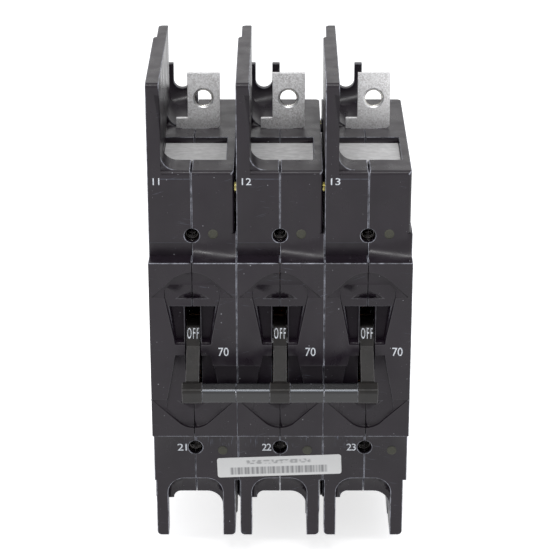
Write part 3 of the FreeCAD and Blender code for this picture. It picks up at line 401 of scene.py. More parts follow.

# %% [markdown]
# One function makes the moulding with more or less shine: the panel has the most, the finger
# recess less, and the deep pockets beside the handle, which see no light, the least. The two
# duller copies are painted shade: they darken the recess and its pockets, which lie in shade.

# %% Satin black moulding
def satin_moulding(name, shine):
    material, tree, shader, place = new_finish(name, BLACK, 0.3, Specular_IOR_Level=shine)
    clouds = noise(tree, place, 14 * MM, 4.0)
    colour = blend_colours(tree, spread(tree, clouds, 0.35, 0.7), BLACK, RUBBED_BLACK)
    lines = largest(tree, scratches(tree, place, 1.42, 0.31), scratches(tree, place, -1.25, 0.77),
                    times(tree, mould_lines_and_highlights(tree, place), 0.75), low_scuffs(tree, place))
    colour = blend_colours(tree, lines, colour, SCRATCH)
    specks = largest(tree, dust_specks(tree, place, 1.7 * MM, 0.30),
                     dust_specks(tree, place, 0.7 * MM, 0.14))
    colour = blend_colours(tree, specks, colour, DUST)
    smears = noise(tree, place, 5 * MM, 5.0, (1, 1, 2))
    rough = calculate(tree, "ADD", spread(tree, smears, 0.3, 0.7, 0.24, 0.42), times(tree, specks, 0.4))
    paint(tree, shader, colour, rough)
    grain = noise(tree, place, 0.5 * MM, 3.0)
    raise_surface(tree, shader, calculate(tree, "ADD", grain, times(tree, specks, 0.6)), 0.02 * MM, 0.35)
    return material


case_black = satin_moulding("case_black", 0.35)
# Darker copies for the finger recess and its deep pockets: painted shade.
recess_black = satin_moulding("recess_black", 0.32)
pocket_black = satin_moulding("pocket_black", 0.10)
print("moulding:", len(case_black.node_tree.nodes), "nodes")

# %% [markdown]
# Black plastic turns whitish blue where it is rubbed. That happens on the outer edges, and hardly
# at all inside the finger recess, so the edge finish fades from one to the other. The same pale edge
# also stands for the thin line of light that the edges catch: it is partly wear, partly a painted
# highlight.

# %% Worn edges and painted edge highlights
def pale_edge_places(tree, place):
    """Where edges are pale, from wear where hands and tools reach and from painted highlight: all edges but
    the panel's parting line and the finger recess.
    """
    across, depth, height = pole_coordinates(tree, place)
    off_middle = calculate(tree, "ABSOLUTE", across)
    off_centre = calculate(tree, "ABSOLUTE", height)
    on_parting = times(tree, spread(tree, off_middle, 0.5 * MM, 0.8 * MM, 1.0, 0.0),
                       spread(tree, depth, -5.2 * MM, -4.6 * MM, 1.0, 0.0))
    towards_back = spread(tree, depth, 6 * MM, 40 * MM, 1.0, 0.35)
    recess = times(tree, spread(tree, off_middle, 12.3 * MM, 12.4 * MM, 1.0, 0.0),
                   spread(tree, off_centre, 26.5 * MM, 27 * MM, 1.0, 0.0))
    dishes = between(tree, off_centre, 16.75 * MM, 26 * MM, 0.1 * MM)
    in_recess = times(tree, spread(tree, depth, -5.25 * MM, -5.1 * MM, 0.03, 0.16),
                      spread(tree, dishes, 0.0, 1.0, 1.0, 0.1))
    elsewhere = calculate(tree, "SUBTRACT", 1.0, recess)
    reached = calculate(tree, "ADD", times(tree, recess, in_recess), elsewhere)
    behind_face = spread(tree, depth, 1 * MM, 1.2 * MM)
    return times(tree, spread(tree, on_parting, 0.0, 1.0, 1.0, 0.08), towards_back,
                 largest(tree, reached, behind_face))


def worn_and_lit_edge(name):
    """The moulding's edges, pale from wear where hands and tools reach them and from a painted highlight.
    """
    material, tree, shader, place = new_finish(name, WORN_AND_LIT, 0.5)
    rub = noise(tree, place, 2.2 * MM, 4.0)
    fine = noise(tree, place, 0.35 * MM, 2.0)
    amount = times(tree, spread(tree, rub, 0.36, 0.62, 0.18, 0.95),
                   spread(tree, fine, 0.3, 0.55, 0.45, 1.0), pale_edge_places(tree, place))
    paint(tree, shader, blend_colours(tree, amount, BLACK, WORN_AND_LIT), spread(tree, rub, 0.3, 0.7, 0.32, 0.6))
    raise_surface(tree, shader, fine, 0.03 * MM, 0.4)
    return material


# Pale edge finish: partly wear, partly a painted highlight along the edges.
case_worn_and_lit = worn_and_lit_edge("case_worn_edge")
print("worn edge:", len(case_worn_and_lit.node_tree.nodes), "nodes")

# %% [markdown]
# ## Handle and sleeve plastics
# The handles are a dull brownish black, grained by the mould. The sleeves on the tie rod are
# polished, so they carry one long sharp highlight.

# %% Handle and sleeve plastics
def matt_moulding(name):
    material, tree, shader, place = new_finish(name, (0.013, 0.011, 0.010), 0.45, Specular_IOR_Level=0.3)
    grain = noise(tree, place, 0.22 * MM, 3.0)
    clouds = spread(tree, noise(tree, place, 3 * MM, 3.0), 0.35, 0.65)
    colour = blend_colours(tree, clouds, (0.0068, 0.0056, 0.005), (0.0125, 0.0105, 0.0095))
    specks = dust_specks(tree, place, 0.55 * MM, 0.2)
    colour = blend_colours(tree, specks, colour, (0.16, 0.15, 0.15))
    paint(tree, shader, colour, spread(tree, grain, 0.3, 0.7, 0.30, 0.5))
    raise_surface(tree, shader, grain, 0.05 * MM, 0.8)
    return material


def gloss_moulding(name):
    polished = (0.008, 0.008, 0.0095)
    material, tree, shader, place = new_finish(name, polished, 0.14)
    ripple = noise(tree, place, 1.6 * MM, 2.0, (3, 1, 1))
    colour = blend_colours(tree, dust_specks(tree, place, 0.9 * MM, 0.2), polished, (0.2, 0.2, 0.22))
    paint(tree, shader, colour, spread(tree, ripple, 0.3, 0.7, 0.10, 0.24))
    raise_surface(tree, shader, ripple, 0.03 * MM, 0.4)
    return material


def edge_of(name, dark, pale, roughness):
    """A pale edge for a smaller moulding or metal part: rubbed wear, and on the sleeves also a painted
    highlight.
    """
    material, tree, shader, place = new_finish(name, dark, roughness)
    rub = noise(tree, place, 0.9 * MM, 3.0)
    paint(tree, shader, blend_colours(tree, spread(tree, rub, 0.35, 0.68), dark, pale),
          spread(tree, rub, 0.3, 0.7, roughness * 0.8, roughness * 1.2))
    return material


handle_black = matt_moulding("handle_black")
handle_edge = edge_of("handle_edge", (0.014, 0.012, 0.011), (0.10, 0.095, 0.095), 0.45)
sleeve_black = gloss_moulding("sleeve_black")
# The sleeves' pale edge is partly wear and partly the painted highlight line along their top edges.
sleeve_edge = edge_of("sleeve_edge", (0.02, 0.02, 0.024), (0.26, 0.27, 0.31), 0.3)
print("plastics:", handle_black.name, sleeve_black.name)

# %% [markdown]
# ## Metals
# Tin on copper is grey and speckled, with pink where the copper shows. Steel here is zinc plated,
# and brass is drawn tube. The threads in the case are darkened metal: painted shade, since they sit
# deep in their holes. Each metal is a mirror with a tint, so its look is in its roughness: fine
# specks for tin, long streaks for drawn metal.

# %% Metals
def speckled_tin(name):
    material, tree, shader, place = new_finish(name, (0.5, 0.5, 0.51), 0.42, Metallic=1.0)
    coarse = noise(tree, place, 0.42 * MM, 4.0)
    fine = noise(tree, place, 0.2 * MM, 2.0)
    clouds = noise(tree, place, 3.5 * MM, 2.0)
    colour = blend_colours(tree, spread(tree, coarse, 0.38, 0.62), (0.62, 0.61, 0.61), (0.93, 0.93, 0.94))
    colour = blend_colours(tree, spread(tree, fine, 0.60, 0.68), colour, (0.60, 0.53, 0.52))
    colour = blend_colours(tree, spread(tree, clouds, 0.35, 0.7, 0.0, 0.6), colour, (0.80, 0.80, 0.80))
    paint(tree, shader, colour, spread(tree, coarse, 0.3, 0.7, 0.55, 0.40))
    raise_surface(tree, shader, fine, 0.03 * MM, 0.5)
    return material


def drawn_metal(name, dark, light, low, high, stretch):
    """Metal whose roughness, from low to high, runs in long streaks."""
    material, tree, shader, place = new_finish(name, light, low, Metallic=1.0)
    streaks = noise(tree, place, 0.25 * MM, 3.0, stretch)
    clouds = noise(tree, place, 4 * MM, 3.0)
    paint(tree, shader, blend_colours(tree, spread(tree, clouds, 0.35, 0.65), dark, light),
          spread(tree, streaks, 0.3, 0.7, low, high))
    raise_surface(tree, shader, streaks, 0.02 * MM, 0.5)
    return material


tab_tin = speckled_tin("tab_tin")
tab_edge = edge_of("tab_edge", (0.40, 0.40, 0.41), (0.85, 0.85, 0.86), 0.4)
# Darkened metal for the threads deep in the case: painted shade.
dark_thread = drawn_metal("dark_thread", (0.05, 0.048, 0.046), (0.20, 0.19, 0.185), 0.12, 0.24, (1, 8, 1))
bright_thread = drawn_metal("bright_thread", (0.55, 0.53, 0.46), (0.82, 0.81, 0.78), 0.16, 0.34, (1, 8, 1))
rivet_brass = drawn_metal("rivet_brass", (0.42, 0.36, 0.10), (0.74, 0.66, 0.28), 0.2, 0.42, (10, 1, 1))
zinc_steel = drawn_metal("zinc_steel", (0.42, 0.42, 0.43), (0.62, 0.62, 0.63), 0.28, 0.5, (1, 1, 12))
spring_steel = drawn_metal("spring_steel", (0.36, 0.36, 0.37), (0.55, 0.55, 0.56), 0.2, 0.36, (14, 1, 1))
bare_copper = drawn_metal("bare_copper", (0.48, 0.22, 0.12), (0.74, 0.40, 0.26), 0.24, 0.45, (1, 1, 10))
print("metals:", [m.name for m in (tab_tin, bright_thread, rivet_brass, zinc_steel, bare_copper)])

# %% [markdown]
# ## Fibre, winding and braid
# The vent sheet is grey vulcanised fibre and the arc frame is red fibre: both are matt and mottled.
# The coil's enamelled wire and the braid show their turns, which a wave pattern raises.

# %% Fibre, winding and braid
def pressed_fibre(name, dark, light):
    material, tree, shader, place = new_finish(name, light, 0.75)
    mottle = noise(tree, place, 1.1 * MM, 5.0, (2, 1, 1))
    specks = dust_specks(tree, place, 1.1 * MM, 0.25)
    colour = blend_colours(tree, spread(tree, mottle, 0.33, 0.68), dark, light)
    colour = blend_colours(tree, specks, colour, dark)
    paint(tree, shader, colour, spread(tree, mottle, 0.3, 0.7, 0.6, 0.85))
    raise_surface(tree, shader, mottle, 0.05 * MM, 0.5)
    return material


def wound_wire(name, dark, light, pitch, direction, roughness, metallic):
    """Turns of wire, a pitch apart: a wave pattern's bands are 0.314 apart at a scale of 1."""
    material, tree, shader, place = new_finish(name, light, roughness, Metallic=metallic)
    scale = (0.314 / pitch,) * 3
    mapping = node(tree, "ShaderNodeMapping", Rotation=direction, Scale=scale, Vector=place)
    turns = node(tree, "ShaderNodeTexWave", Scale=1.0, Distortion=0.3, bands_direction="Z",
                 Vector=mapping.outputs[0]).outputs["Fac"]
    uneven = noise(tree, place, 1.5 * MM, 2.0)
    paint(tree, shader, blend_colours(tree, turns, dark, light),
          spread(tree, uneven, 0.3, 0.7, roughness * 0.8, roughness * 1.3))
    raise_surface(tree, shader, turns, 0.3 * MM, 0.8)
    return material


grey_fibre = pressed_fibre("grey_fibre", (0.54, 0.535, 0.53), (0.70, 0.695, 0.69))
red_fibre = pressed_fibre("red_fibre", (0.16, 0.045, 0.03), (0.30, 0.09, 0.055))
coil_wire = wound_wire("coil_wire", (0.10, 0.03, 0.012), (0.52, 0.20, 0.08), 1.1 * MM, (0.03, 0, 0),
                       0.28, 0.75)
copper_braid = wound_wire("copper_braid", (0.20, 0.08, 0.04), (0.72, 0.36, 0.20), 0.45 * MM, (0.7, 0.3, 0),
                          0.4, 0.9)

print("fibres:", grey_fibre.name, red_fibre.name, "wires:", coil_wire.name, copper_braid.name)

# %% [markdown]
# The inner parts keep their CAD shape and only get a finish each, because they are seen only
# through gaps, or when the case is opened.

# %% Finishes of the inner parts
FAMILIES = {
    zinc_steel: ("arc_plates", "magnet_frame", "armature", "delay_core", "toggle_link"),
    spring_steel: ("handle_pins", "arm_pins", "link_pins", "tie_rod", "core_spring"),
    rivet_brass: ("delay_tube", "case_rivets"),
    red_fibre: ("arc_frame",), coil_wire: ("coil",), copper_braid: ("pigtail",),
    bare_copper: ("contact_arm",), handle_black: ("trip_bar",),
}
CARRIED_OVER = {name: finish for finish, names in FAMILIES.items() for name in names}


def family(node_name):
    return node_name[:-2] if node_name[-2:] in ("_1", "_2", "_3") else node_name


dressed = 0
for node_name, cad_node in frame["nodes"].items():
    if family(node_name) in CARRIED_OVER:
        cad_node.material_slots[0].material = CARRIED_OVER[family(node_name)]
        dressed += 1
print("CAD nodes with a finish of their own:", dressed)

# %% [markdown]
# ## Soft edges
# No moulded or stamped edge is sharp. A bevel of a fifth of a millimetre catches a thin line of
# light, and its faces take a second, paler finish: partly rubbed wear, partly a painted highlight
# along the edge. The CAD mesh itself is never changed: a copy is merged, its flat faces joined, and
# only its outward edges are bevelled.
# Where two edges run close together the bevel gets narrower, by an edge weight, or is left out.

# %% Merged copies with bevel weights
SHARP = math.radians(32)
FLAT = math.radians(0.6)
NARROW = 0.3 * MM
BODIES = frame["record"]["behaviour"]["bodies"]
body_of_node = {name: body for body, names in BODIES.items() for name in names}


def is_sharp(edge):
    return edge.is_manifold and edge.calc_face_angle(0) > SHARP


def corner_limit(edge, width):
    """A short edge between two corners only has room for a narrow bevel."""
    for vertex in edge.verts:
        along = edge.other_vert(vertex).co - vertex.co
        for other in vertex.link_edges:
            if other is not edge and is_sharp(other):
                if along.angle(other.other_vert(vertex).co - vertex.co, 0) < math.radians(150):
                    return 0.35 * edge.calc_length() / width
    return 1.0


def weigh_edges(shape, width):
    """A full bevel where there is room beside the edge, a narrow one or none where there isn't."""
    layer = shape.edges.layers.float.new("bevel_weight_edge")
    sharp = [edge for edge in shape.edges if is_sharp(edge)]
    corners = np.array([vertex.co for edge in sharp for vertex in edge.verts])
    for edge in sharp:
        if not edge.is_convex:
            continue
        start = np.array(edge.verts[0].co)
        along = np.array(edge.verts[1].co) - start
        part = ((corners - start) @ along) / (along @ along)
        beside = (part > 0.001) & (part < 0.999)
        gap = np.linalg.norm(start + part[beside, None] * along - corners[beside], axis=1)
        room = gap.min(initial=1.0)
        weight = min(1.0, 0.3 * room / width, corner_limit(edge, width))
        edge[layer] = 0.0 if room < NARROW else weight


print("edges sharper than", round(math.degrees(SHARP)), "degrees are softened")

# %% [markdown]
# Each flat patch gets a number before the bevel, so that it can be found again afterwards.

# %% Numbered patches
def mark_flat_patches(shape):
    """Numbers the patches of faces that lie in one plane."""
    layer = shape.faces.layers.int.new("flat_patch")
    number = 0
    for first in shape.faces:
        if first[layer]:
            continue
        number += 1
        first[layer] = number
        waiting = [first]
        while waiting:
            for edge in waiting.pop().edges:
                if not edge.is_manifold or edge.calc_face_angle(0) > FLAT:
                    continue
                for face in edge.link_faces:
                    if not face[layer]:
                        face[layer] = number
                        waiting.append(face)


def merged_copy(node_name, width):
    mesh = frame["nodes"][node_name].data.copy()
    shape = bmesh.new()
    shape.from_mesh(mesh)
    bmesh.ops.remove_doubles(shape, verts=shape.verts, dist=0.001 * MM)
    bmesh.ops.dissolve_limit(shape, angle_limit=math.radians(1), verts=shape.verts, edges=shape.edges)
    shape.verts.index_update()
    weigh_edges(shape, width)
    mark_flat_patches(shape)
    for edge in shape.edges:
        edge.smooth = not (is_sharp(edge) and not edge.is_convex)
    for face in shape.faces:
        face.smooth = True
    shape.to_mesh(mesh)
    shape.free()
    return mesh


# %% [markdown]
# The bevel pushes corners about, which can fold the long faces between them. So each flat patch is
# emptied afterwards and filled again from its outline, with a Delaunay triangulation.

# %% Clean flat patches after the bevel
def encloses(outline, point):
    """Whether a ray from the point crosses the outline an odd number of times."""
    odd = False
    for a, b in outline:
        if (a[1] > point[1]) != (b[1] > point[1]):
            if point[0] < a[0] + (point[1] - a[1]) / (b[1] - a[1]) * (b[0] - a[0]):
                odd = not odd
    return odd


def delaunay_fill(shape, outline, normal):
    """Triangles of the patch; where the outline crosses itself, the crossing becomes a vertex."""
    corners = list(dict.fromkeys(vertex for edge in outline for vertex in edge.verts))
    index = {vertex: k for k, vertex in enumerate(corners)}
    across = normal.orthogonal().normalized()
    up = normal.cross(across)
    flat = [Vector((vertex.co.dot(across), vertex.co.dot(up))) / MM for vertex in corners]
    edges = [(index[edge.verts[0]], index[edge.verts[1]]) for edge in outline]
    places, _, triangles, origins, _, _ = delaunay_2d_cdt(flat, edges, [], 1, 1e-7)
    base = corners[0].co - across * flat[0][0] * MM - up * flat[0][1] * MM
    found = []
    for origin, place in zip(origins, places):
        crossing = base + (across * place[0] + up * place[1]) * MM
        found.append(corners[origin[0]] if origin else shape.verts.new(crossing))
    sides = [(flat[a], flat[b]) for a, b in edges]
    kept = [t for t in triangles if encloses(sides, (places[t[0]] + places[t[1]] + places[t[2]]) / 3)]
    return [[found[k] for k in t] for t in kept]


print("crossing outlines are mended by a new corner")

# %% Refilled patches
def refill_patches(mesh):
    """Empties and fills each flat patch of the first surface again, and says how many it filled."""
    shape = bmesh.new()
    shape.from_mesh(mesh)
    layer = shape.faces.layers.int["flat_patch"]
    patches = {}
    for face in shape.faces:
        if face.material_index == 0:
            patches.setdefault(face[layer], []).append(face)
    refilled = 0
    for faces in patches.values():
        if len(faces) < 2 and len(faces[0].verts) < 5:
            continue
        patch = set(faces)
        edges = dict.fromkeys(edge for face in faces for edge in face.edges)
        outline = [edge for edge in edges if sum(face in patch for face in edge.link_faces) == 1]
        normal = max(faces, key=lambda face: face.calc_area()).normal.copy()
        triangles = delaunay_fill(shape, outline, normal)
        if not triangles:
            continue
        bmesh.ops.delete(shape, geom=faces, context="FACES_KEEP_BOUNDARY")
        for corners in triangles:
            if len(set(corners)) < 3 or shape.faces.get(corners):
                continue
            face = shape.faces.new(corners)
            face.smooth = True
            face.normal_update()
            if face.normal.dot(normal) < 0:
                face.normal_flip()
        refilled += 1
    loose = [vertex for vertex in shape.verts if not vertex.link_faces]
    bmesh.ops.delete(shape, geom=loose, context="VERTS")
    shape.to_mesh(mesh)
    shape.free()
    return refilled


print("patches of the first surface are filled again")

# %% [markdown]
# The pieces ride on their CAD node's body and stand for it. A weighted normal keeps the broad
# faces flat in the light beside their bevels.

# %% Softened copies
def soft_edged(node_name, piece_name, width, surface, edge_surface):
    source = merged_copy(node_name, width)
    source.materials.clear()
    for finish in (surface, edge_surface):
        source.materials.append(finish)
    blank = placed(piece_name, source)
    bevel = blank.modifiers.new("soft_edges", "BEVEL")
    bevel.width = width
    bevel.segments = 2
    bevel.limit_method = "WEIGHT"
    bevel.use_clamp_overlap = False
    bevel.material = 1
    result = plain_mesh(blank)
    blank.modifiers.clear()
    refilled = refill_patches(result)
    result.set_sharp_from_angle(angle=SHARP)
    blank.data = result
    result.name = piece_name
    weighted = blank.modifiers.new("flat_faces_stay_flat", "WEIGHTED_NORMAL")
    weighted.keep_sharp = True
    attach(blank, body_of_node[node_name])
    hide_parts(node_name)
    return blank, refilled


print("bodies to ride on:", len(BODIES))

# %% [markdown]
# The case halves, handles, sleeves, tabs and vent sheets are what a person sees, so these families
# are softened. The faces of the finger recess and its pockets take the darker mouldings, as painted shade.

# %% Softened pieces
PANEL_RECESS = (-5.4 * MM, 1.5 * MM)
RECESS_HALF_WIDE = 12.4 * MM
RECESS_HALF_TALL = 26 * MM
POCKET_DEPTH = -4.3 * MM
POCKET_HALF_TALL = 14.3 * MM


def paint_pocket_shade(mesh):
    """Painted shade: the recess round the handle takes a darker moulding than the panel, and its deep
    pockets a darker one still.
    """
    mesh.materials.append(recess_black)
    mesh.materials.append(pocket_black)
    for face in mesh.polygons:
        x, y, z = face.center
        off_middle = abs((x + HALF_PITCH) % PITCH - HALF_PITCH)
        in_recess = off_middle <= RECESS_HALF_WIDE and abs(z) <= RECESS_HALF_TALL
        if face.material_index or not in_recess or not PANEL_RECESS[0] <= y <= PANEL_RECESS[1]:
            continue
        face.material_index = 3 if y > POCKET_DEPTH and abs(z) < POCKET_HALF_TALL else 2


SOFTENED = {
    "case_left": (0.22 * MM, case_black, case_worn_and_lit), "case_right": (0.22 * MM, case_black, case_worn_and_lit),
    "handle": (0.16 * MM, handle_black, handle_edge), "tie_sleeves": (0.12 * MM, sleeve_black, sleeve_edge),
    "line_terminal": (0.12 * MM, tab_tin, tab_edge), "load_terminal": (0.12 * MM, tab_tin, tab_edge),
    "vent_sheet": (0.10 * MM, grey_fibre, grey_fibre),
}
softened = {}
for node_name in list(frame["nodes"]):
    if family(node_name) in SOFTENED:
        piece, refilled = soft_edged(node_name, node_name + "_soft", *SOFTENED[family(node_name)])
        softened[node_name] = piece
        if family(node_name) in ("case_left", "case_right"):
            paint_pocket_shade(piece.data)
        print(node_name, "faces:", len(piece.data.polygons), "flat patches filled:", refilled)

# %% [markdown]
# ## Light on the tie sleeves
# A bluish softbox is seen only as a reflection, and only by the sleeves between the handles, so
# their rounded front edge carries one long bright band.

# %% Sleeve light
sleeve_light = softbox("sleeve_light", (0.0, -0.64, 0.77), (0, 0, 0), (0.9, 1.0), 18.0)
sleeve_light.data.color = (0.82, 0.89, 1.0)
sleeve_light.visible_diffuse = False
lit = bpy.data.collections.new("lit_by_sleeve_light")
for node_name, piece in softened.items():
    if family(node_name) == "tie_sleeves":
        lit.objects.link(piece)
sleeve_light.light_linking.receiver_collection = lit

# %% [markdown]
# ## Parting joint
# The two halves of a pole meet in a tongue and groove, so no light passes between them. A thin
# black strip above and below each handle, cut to the outline of the front wall, stands for the
# tongue. Its corners are depth and height in millimetres.

# %% Parting tongues
TONGUE_HALF = 0.045 * MM
TONGUE_OUTLINES = [
    [(-2.9, 14.3), (-2.9, 24.2), (-4.6, 27.3), (0.7, 27.3), (0.7, 51.0), (1.6, 52.9), (1.6, 49.8),
     (1.6, 25.9), (0.7, 14.3)],
    [(-2.9, -14.3), (0.7, -14.3), (1.6, -25.9), (1.6, -44.6), (0.7, -44.6), (0.7, -27.3),
     (-4.6, -27.3), (-2.9, -24.2)],
]


def walls(count, rings):
    """The faces between rings of corners that follow each other in one list."""
    return [(ring * count + k, ring * count + (k + 1) % count, (ring + 1) * count + (k + 1) % count,
             (ring + 1) * count + k) for ring in range(rings - 1) for k in range(count)]


corners, faces = [], []
for pole in POLES:
    for outline in TONGUE_OUTLINES:
        first, count = len(corners), len(outline)
        corners += [(pole + x, y * MM, z * MM) for x in (-TONGUE_HALF, TONGUE_HALF) for y, z in outline]
        ends = [tuple(range(count)), tuple(range(count, 2 * count))]
        faces += [tuple(first + k for k in face) for face in ends + walls(count, 2)]
# The tongues take the darkest shaded copy of the moulding: painted shade in the joint.
tongues = placed("parting_tongues", closed_mesh("parting_tongues", corners, faces, [pocket_black]))
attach(tongues, "case")
print("tongues:", len(POLES) * len(TONGUE_OUTLINES))

# %% [markdown]
# ## Threaded inserts
# A metal nut sits a little below the face in each mounting hole. Its inside and its thread are
# darkened, as painted shade deep in the hole. Its body is a turned shape, so its section is spun
# round an axis. The thread inside is a ridge along a helix, which Geometry Nodes sweep once and set
# in every hole: one rule with six places.

# %% Turned bodies
def turned_body(name, section, places, surfaces, steps=48):
    """Spins a closed section of (radius, depth, surface index) round Y at each place."""
    vertices, faces, finish = [], [], []
    count = len(section)
    for x, y, z in places:
        first = len(vertices)
        for step in range(steps):
            angle = 2 * math.pi * step / steps
            for radius, depth, _ in section:
                vertices.append((x + radius * math.cos(angle), y + depth, z + radius * math.sin(angle)))
            near, far = first + step * count, first + (step + 1) % steps * count
            for k, (_, _, index) in enumerate(section):
                up = (k + 1) % count
                faces.append((near + k, near + up, far + up, far + k))
                finish.append(index)
    mesh = closed_mesh(name, vertices, faces, surfaces)
    mesh.polygons.foreach_set("material_index", finish)
    mesh.shade_smooth()
    mesh.set_sharp_from_angle(angle=SHARP)
    return placed(name, mesh)


INSERT_HEIGHT = 34.3 * MM
INSERT_PLACES = [(x, 0.0, z) for x in POLES for z in (INSERT_HEIGHT, -INSERT_HEIGHT)]
INSERT_SECTION = [(radius * MM, depth * MM, index) for radius, depth, index in (
    (1.72, 2.2, 1), (1.72, 9.4, 1), (0.02, 9.4, 1), (0.02, 9.95, 1), (2.62, 9.95, 1), (2.62, 5.6, 1),
    (2.3, 5.6, 1), (2.3, 4.6, 1), (2.62, 4.6, 1), (2.62, 0.62, 0), (2.14, 0.62, 0), (2.14, 1.7, 1),
    (1.95, 1.9, 1))]
insert_bodies = turned_body("insert_bodies", INSERT_SECTION, INSERT_PLACES, [case_black, dark_thread])
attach(insert_bodies, "case")
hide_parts("mounting_inserts")
print("insert bodies:", len(INSERT_PLACES))

# %% [markdown]
# A thread could be cut from the nut, but a ridge swept along a helix is lighter, and its four
# sides catch the light just as a cut thread's flanks do. One tree serves every thread: its
# inputs are the helix's sizes and the pitch of the grid on which the copies stand.

# %% Thread ridges by Geometry Nodes
def nodes_group(name, sizes):
    """A Geometry Nodes tree with number inputs and a finish, and its group input's outputs."""
    tree = bpy.data.node_groups.new(name, "GeometryNodeTree")
    tree.interface.new_socket("Geometry", in_out="OUTPUT", socket_type="NodeSocketGeometry")
    for label in sizes:
        tree.interface.new_socket(label, in_out="INPUT", socket_type="NodeSocketFloat")
    tree.interface.new_socket("Finish", in_out="INPUT", socket_type="NodeSocketMaterial")
    return tree, tree.nodes.new("NodeGroupInput").outputs


def set_on_grid(tree, shape, turn, counts, pitches, finish):
    """Turns a shape about X and sets a copy at every vertex of a grid in X and Z."""
    lay = node(tree, "GeometryNodeTransform", Geometry=shape, Rotation=(math.radians(turn), 0, 0))
    grid = node(tree, "GeometryNodeMeshGrid", Size_X=pitches[0], Size_Y=pitches[1], Vertices_X=counts[0],
                Vertices_Y=counts[1])
    stand = node(tree, "GeometryNodeTransform", Geometry=grid.outputs[0], Rotation=(math.radians(90), 0, 0))
    points = node(tree, "GeometryNodeMeshToPoints", Mesh=stand.outputs[0])
    copies = node(tree, "GeometryNodeInstanceOnPoints", Points=points.outputs[0], Instance=lay.outputs[0])
    solid = node(tree, "GeometryNodeRealizeInstances", Geometry=copies.outputs[0])
    coloured = node(tree, "GeometryNodeSetMaterial", Geometry=solid.outputs[0], Material=finish)
    node(tree, "NodeGroupOutput", Geometry=coloured.outputs[0])


def thread_tree(name, columns, rows):
    """A ridge along a helix round Y, set on a grid of places in X and Z."""
    tree, given = nodes_group(name, ("Radius", "Ridge", "Length", "Turns", "Pitch X", "Pitch Z"))
    helix = node(tree, "GeometryNodeCurveSpiral", Rotations=given["Turns"], Start_Radius=given["Radius"],
                 End_Radius=given["Radius"], Height=given["Length"], Resolution=40)
    section = node(tree, "GeometryNodeCurvePrimitiveCircle", Radius=given["Ridge"], Resolution=4)
    ridge = node(tree, "GeometryNodeCurveToMesh", Curve=helix.outputs[0], Profile_Curve=section.outputs[0],
                 Fill_Caps=True)
    set_on_grid(tree, ridge.outputs[0], -90, (columns, rows), (given["Pitch X"], given["Pitch Z"]),
                given["Finish"])
    return tree


print("copies stand on a grid, and end as real faces")

# %% Grown meshes
def grown(name, tree, shift, **values):
    """Runs a Geometry Nodes tree on an empty mesh and keeps its result, moved, as a plain mesh."""
    made = placed(name, bpy.data.meshes.new(name))
    modifier = made.modifiers.new("grow", "NODES")
    modifier.node_group = tree
    for item in tree.interface.items_tree:
        if item.in_out == "INPUT":
            modifier[item.identifier] = values[item.name.replace(" ", "_")]
    mesh = plain_mesh(made)
    made.modifiers.clear()
    made.data = mesh
    mesh.name = name
    mesh.transform(Matrix.Translation(shift))
    mesh.shade_smooth()
    return made


insert_thread = thread_tree("insert_thread", len(POLES), 2)
insert_ridges = grown("insert_ridges", insert_thread, Vector((0, 2.3 * MM, 0)), Radius=1.74 * MM,
                      Ridge=0.26 * MM, Length=6.6 * MM, Turns=10.0, Pitch_X=2 * PITCH,
                      Pitch_Z=2 * INSERT_HEIGHT, Finish=dark_thread)
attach(insert_ridges, "case")
print("insert thread faces:", len(insert_ridges.data.polygons))

# %% [markdown]
# The tabs have a short tapped hole: less than two turns show.

# %% Threads of the tabs
tab_thread = thread_tree("tab_thread", len(POLES), 1)
TAB_THREAD = dict(Radius=2.66 * MM, Ridge=0.25 * MM, Length=1.15 * MM, Turns=1.45, Pitch_X=2 * PITCH,
                  Pitch_Z=0.0, Finish=bright_thread)
for name, shift in (("line_tab_threads", (2.5 * MM, 37.55 * MM, 63.5 * MM)),
                    ("load_tab_threads", (-2.5 * MM, 45.55 * MM, -63.5 * MM))):
    threads = grown(name, tab_thread, Vector(shift), **TAB_THREAD)
    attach(threads, "case")
    print(name, "faces:", len(threads.data.polygons))

# %% [markdown]
# ## Printed marks
# Each pole carries plain numbers, pad-printed in white: terminal numbers above and below, a number
# by the handle, and OFF or ON on the round part of the handle. A text object gives the shape, which
# is then fitted into its box, given a hair's thickness and laid on the face. The words on the
# handle are cut into narrow bands first, so that they can be rolled round it.

# %% White ink
def white_ink(name):
    material, tree, shader, place = new_finish(name, (0.75, 0.78, 0.82), 0.5)
    voids = noise(tree, place, 0.3 * MM, 3.0)
    colour = blend_colours(tree, spread(tree, voids, 0.36, 0.5), (0.42, 0.45, 0.5), (0.80, 0.83, 0.87))
    link(tree, colour, shader.inputs["Base Color"])
    raise_surface(tree, shader, voids, 0.02 * MM, 0.4)
    return material


ink = white_ink("white_ink")
INK_THICKNESS = 0.03 * MM


def letters(text, wide, tall, weight, spacing):
    """A flat solid text, fitted to wide by tall, centred in X and Z, its back on Y 0."""
    curve = bpy.data.curves.new("letters", "FONT")
    curve.body = text
    curve.size = 1.0
    curve.extrude = 0.01
    curve.offset = weight
    curve.space_character = spacing
    curve.resolution_u = 4
    source = placed("letters", curve)
    mesh = plain_mesh(source)
    bpy.data.objects.remove(source)
    low = [min(v.co[i] for v in mesh.vertices) for i in range(3)]
    high = [max(v.co[i] for v in mesh.vertices) for i in range(3)]
    for vertex in mesh.vertices:
        x, y, z = [(vertex.co[i] - (low[i] + high[i]) / 2) / (high[i] - low[i]) for i in range(3)]
        vertex.co = (x * wide, -(z + 0.5) * INK_THICKNESS, y * tall)
    return mesh


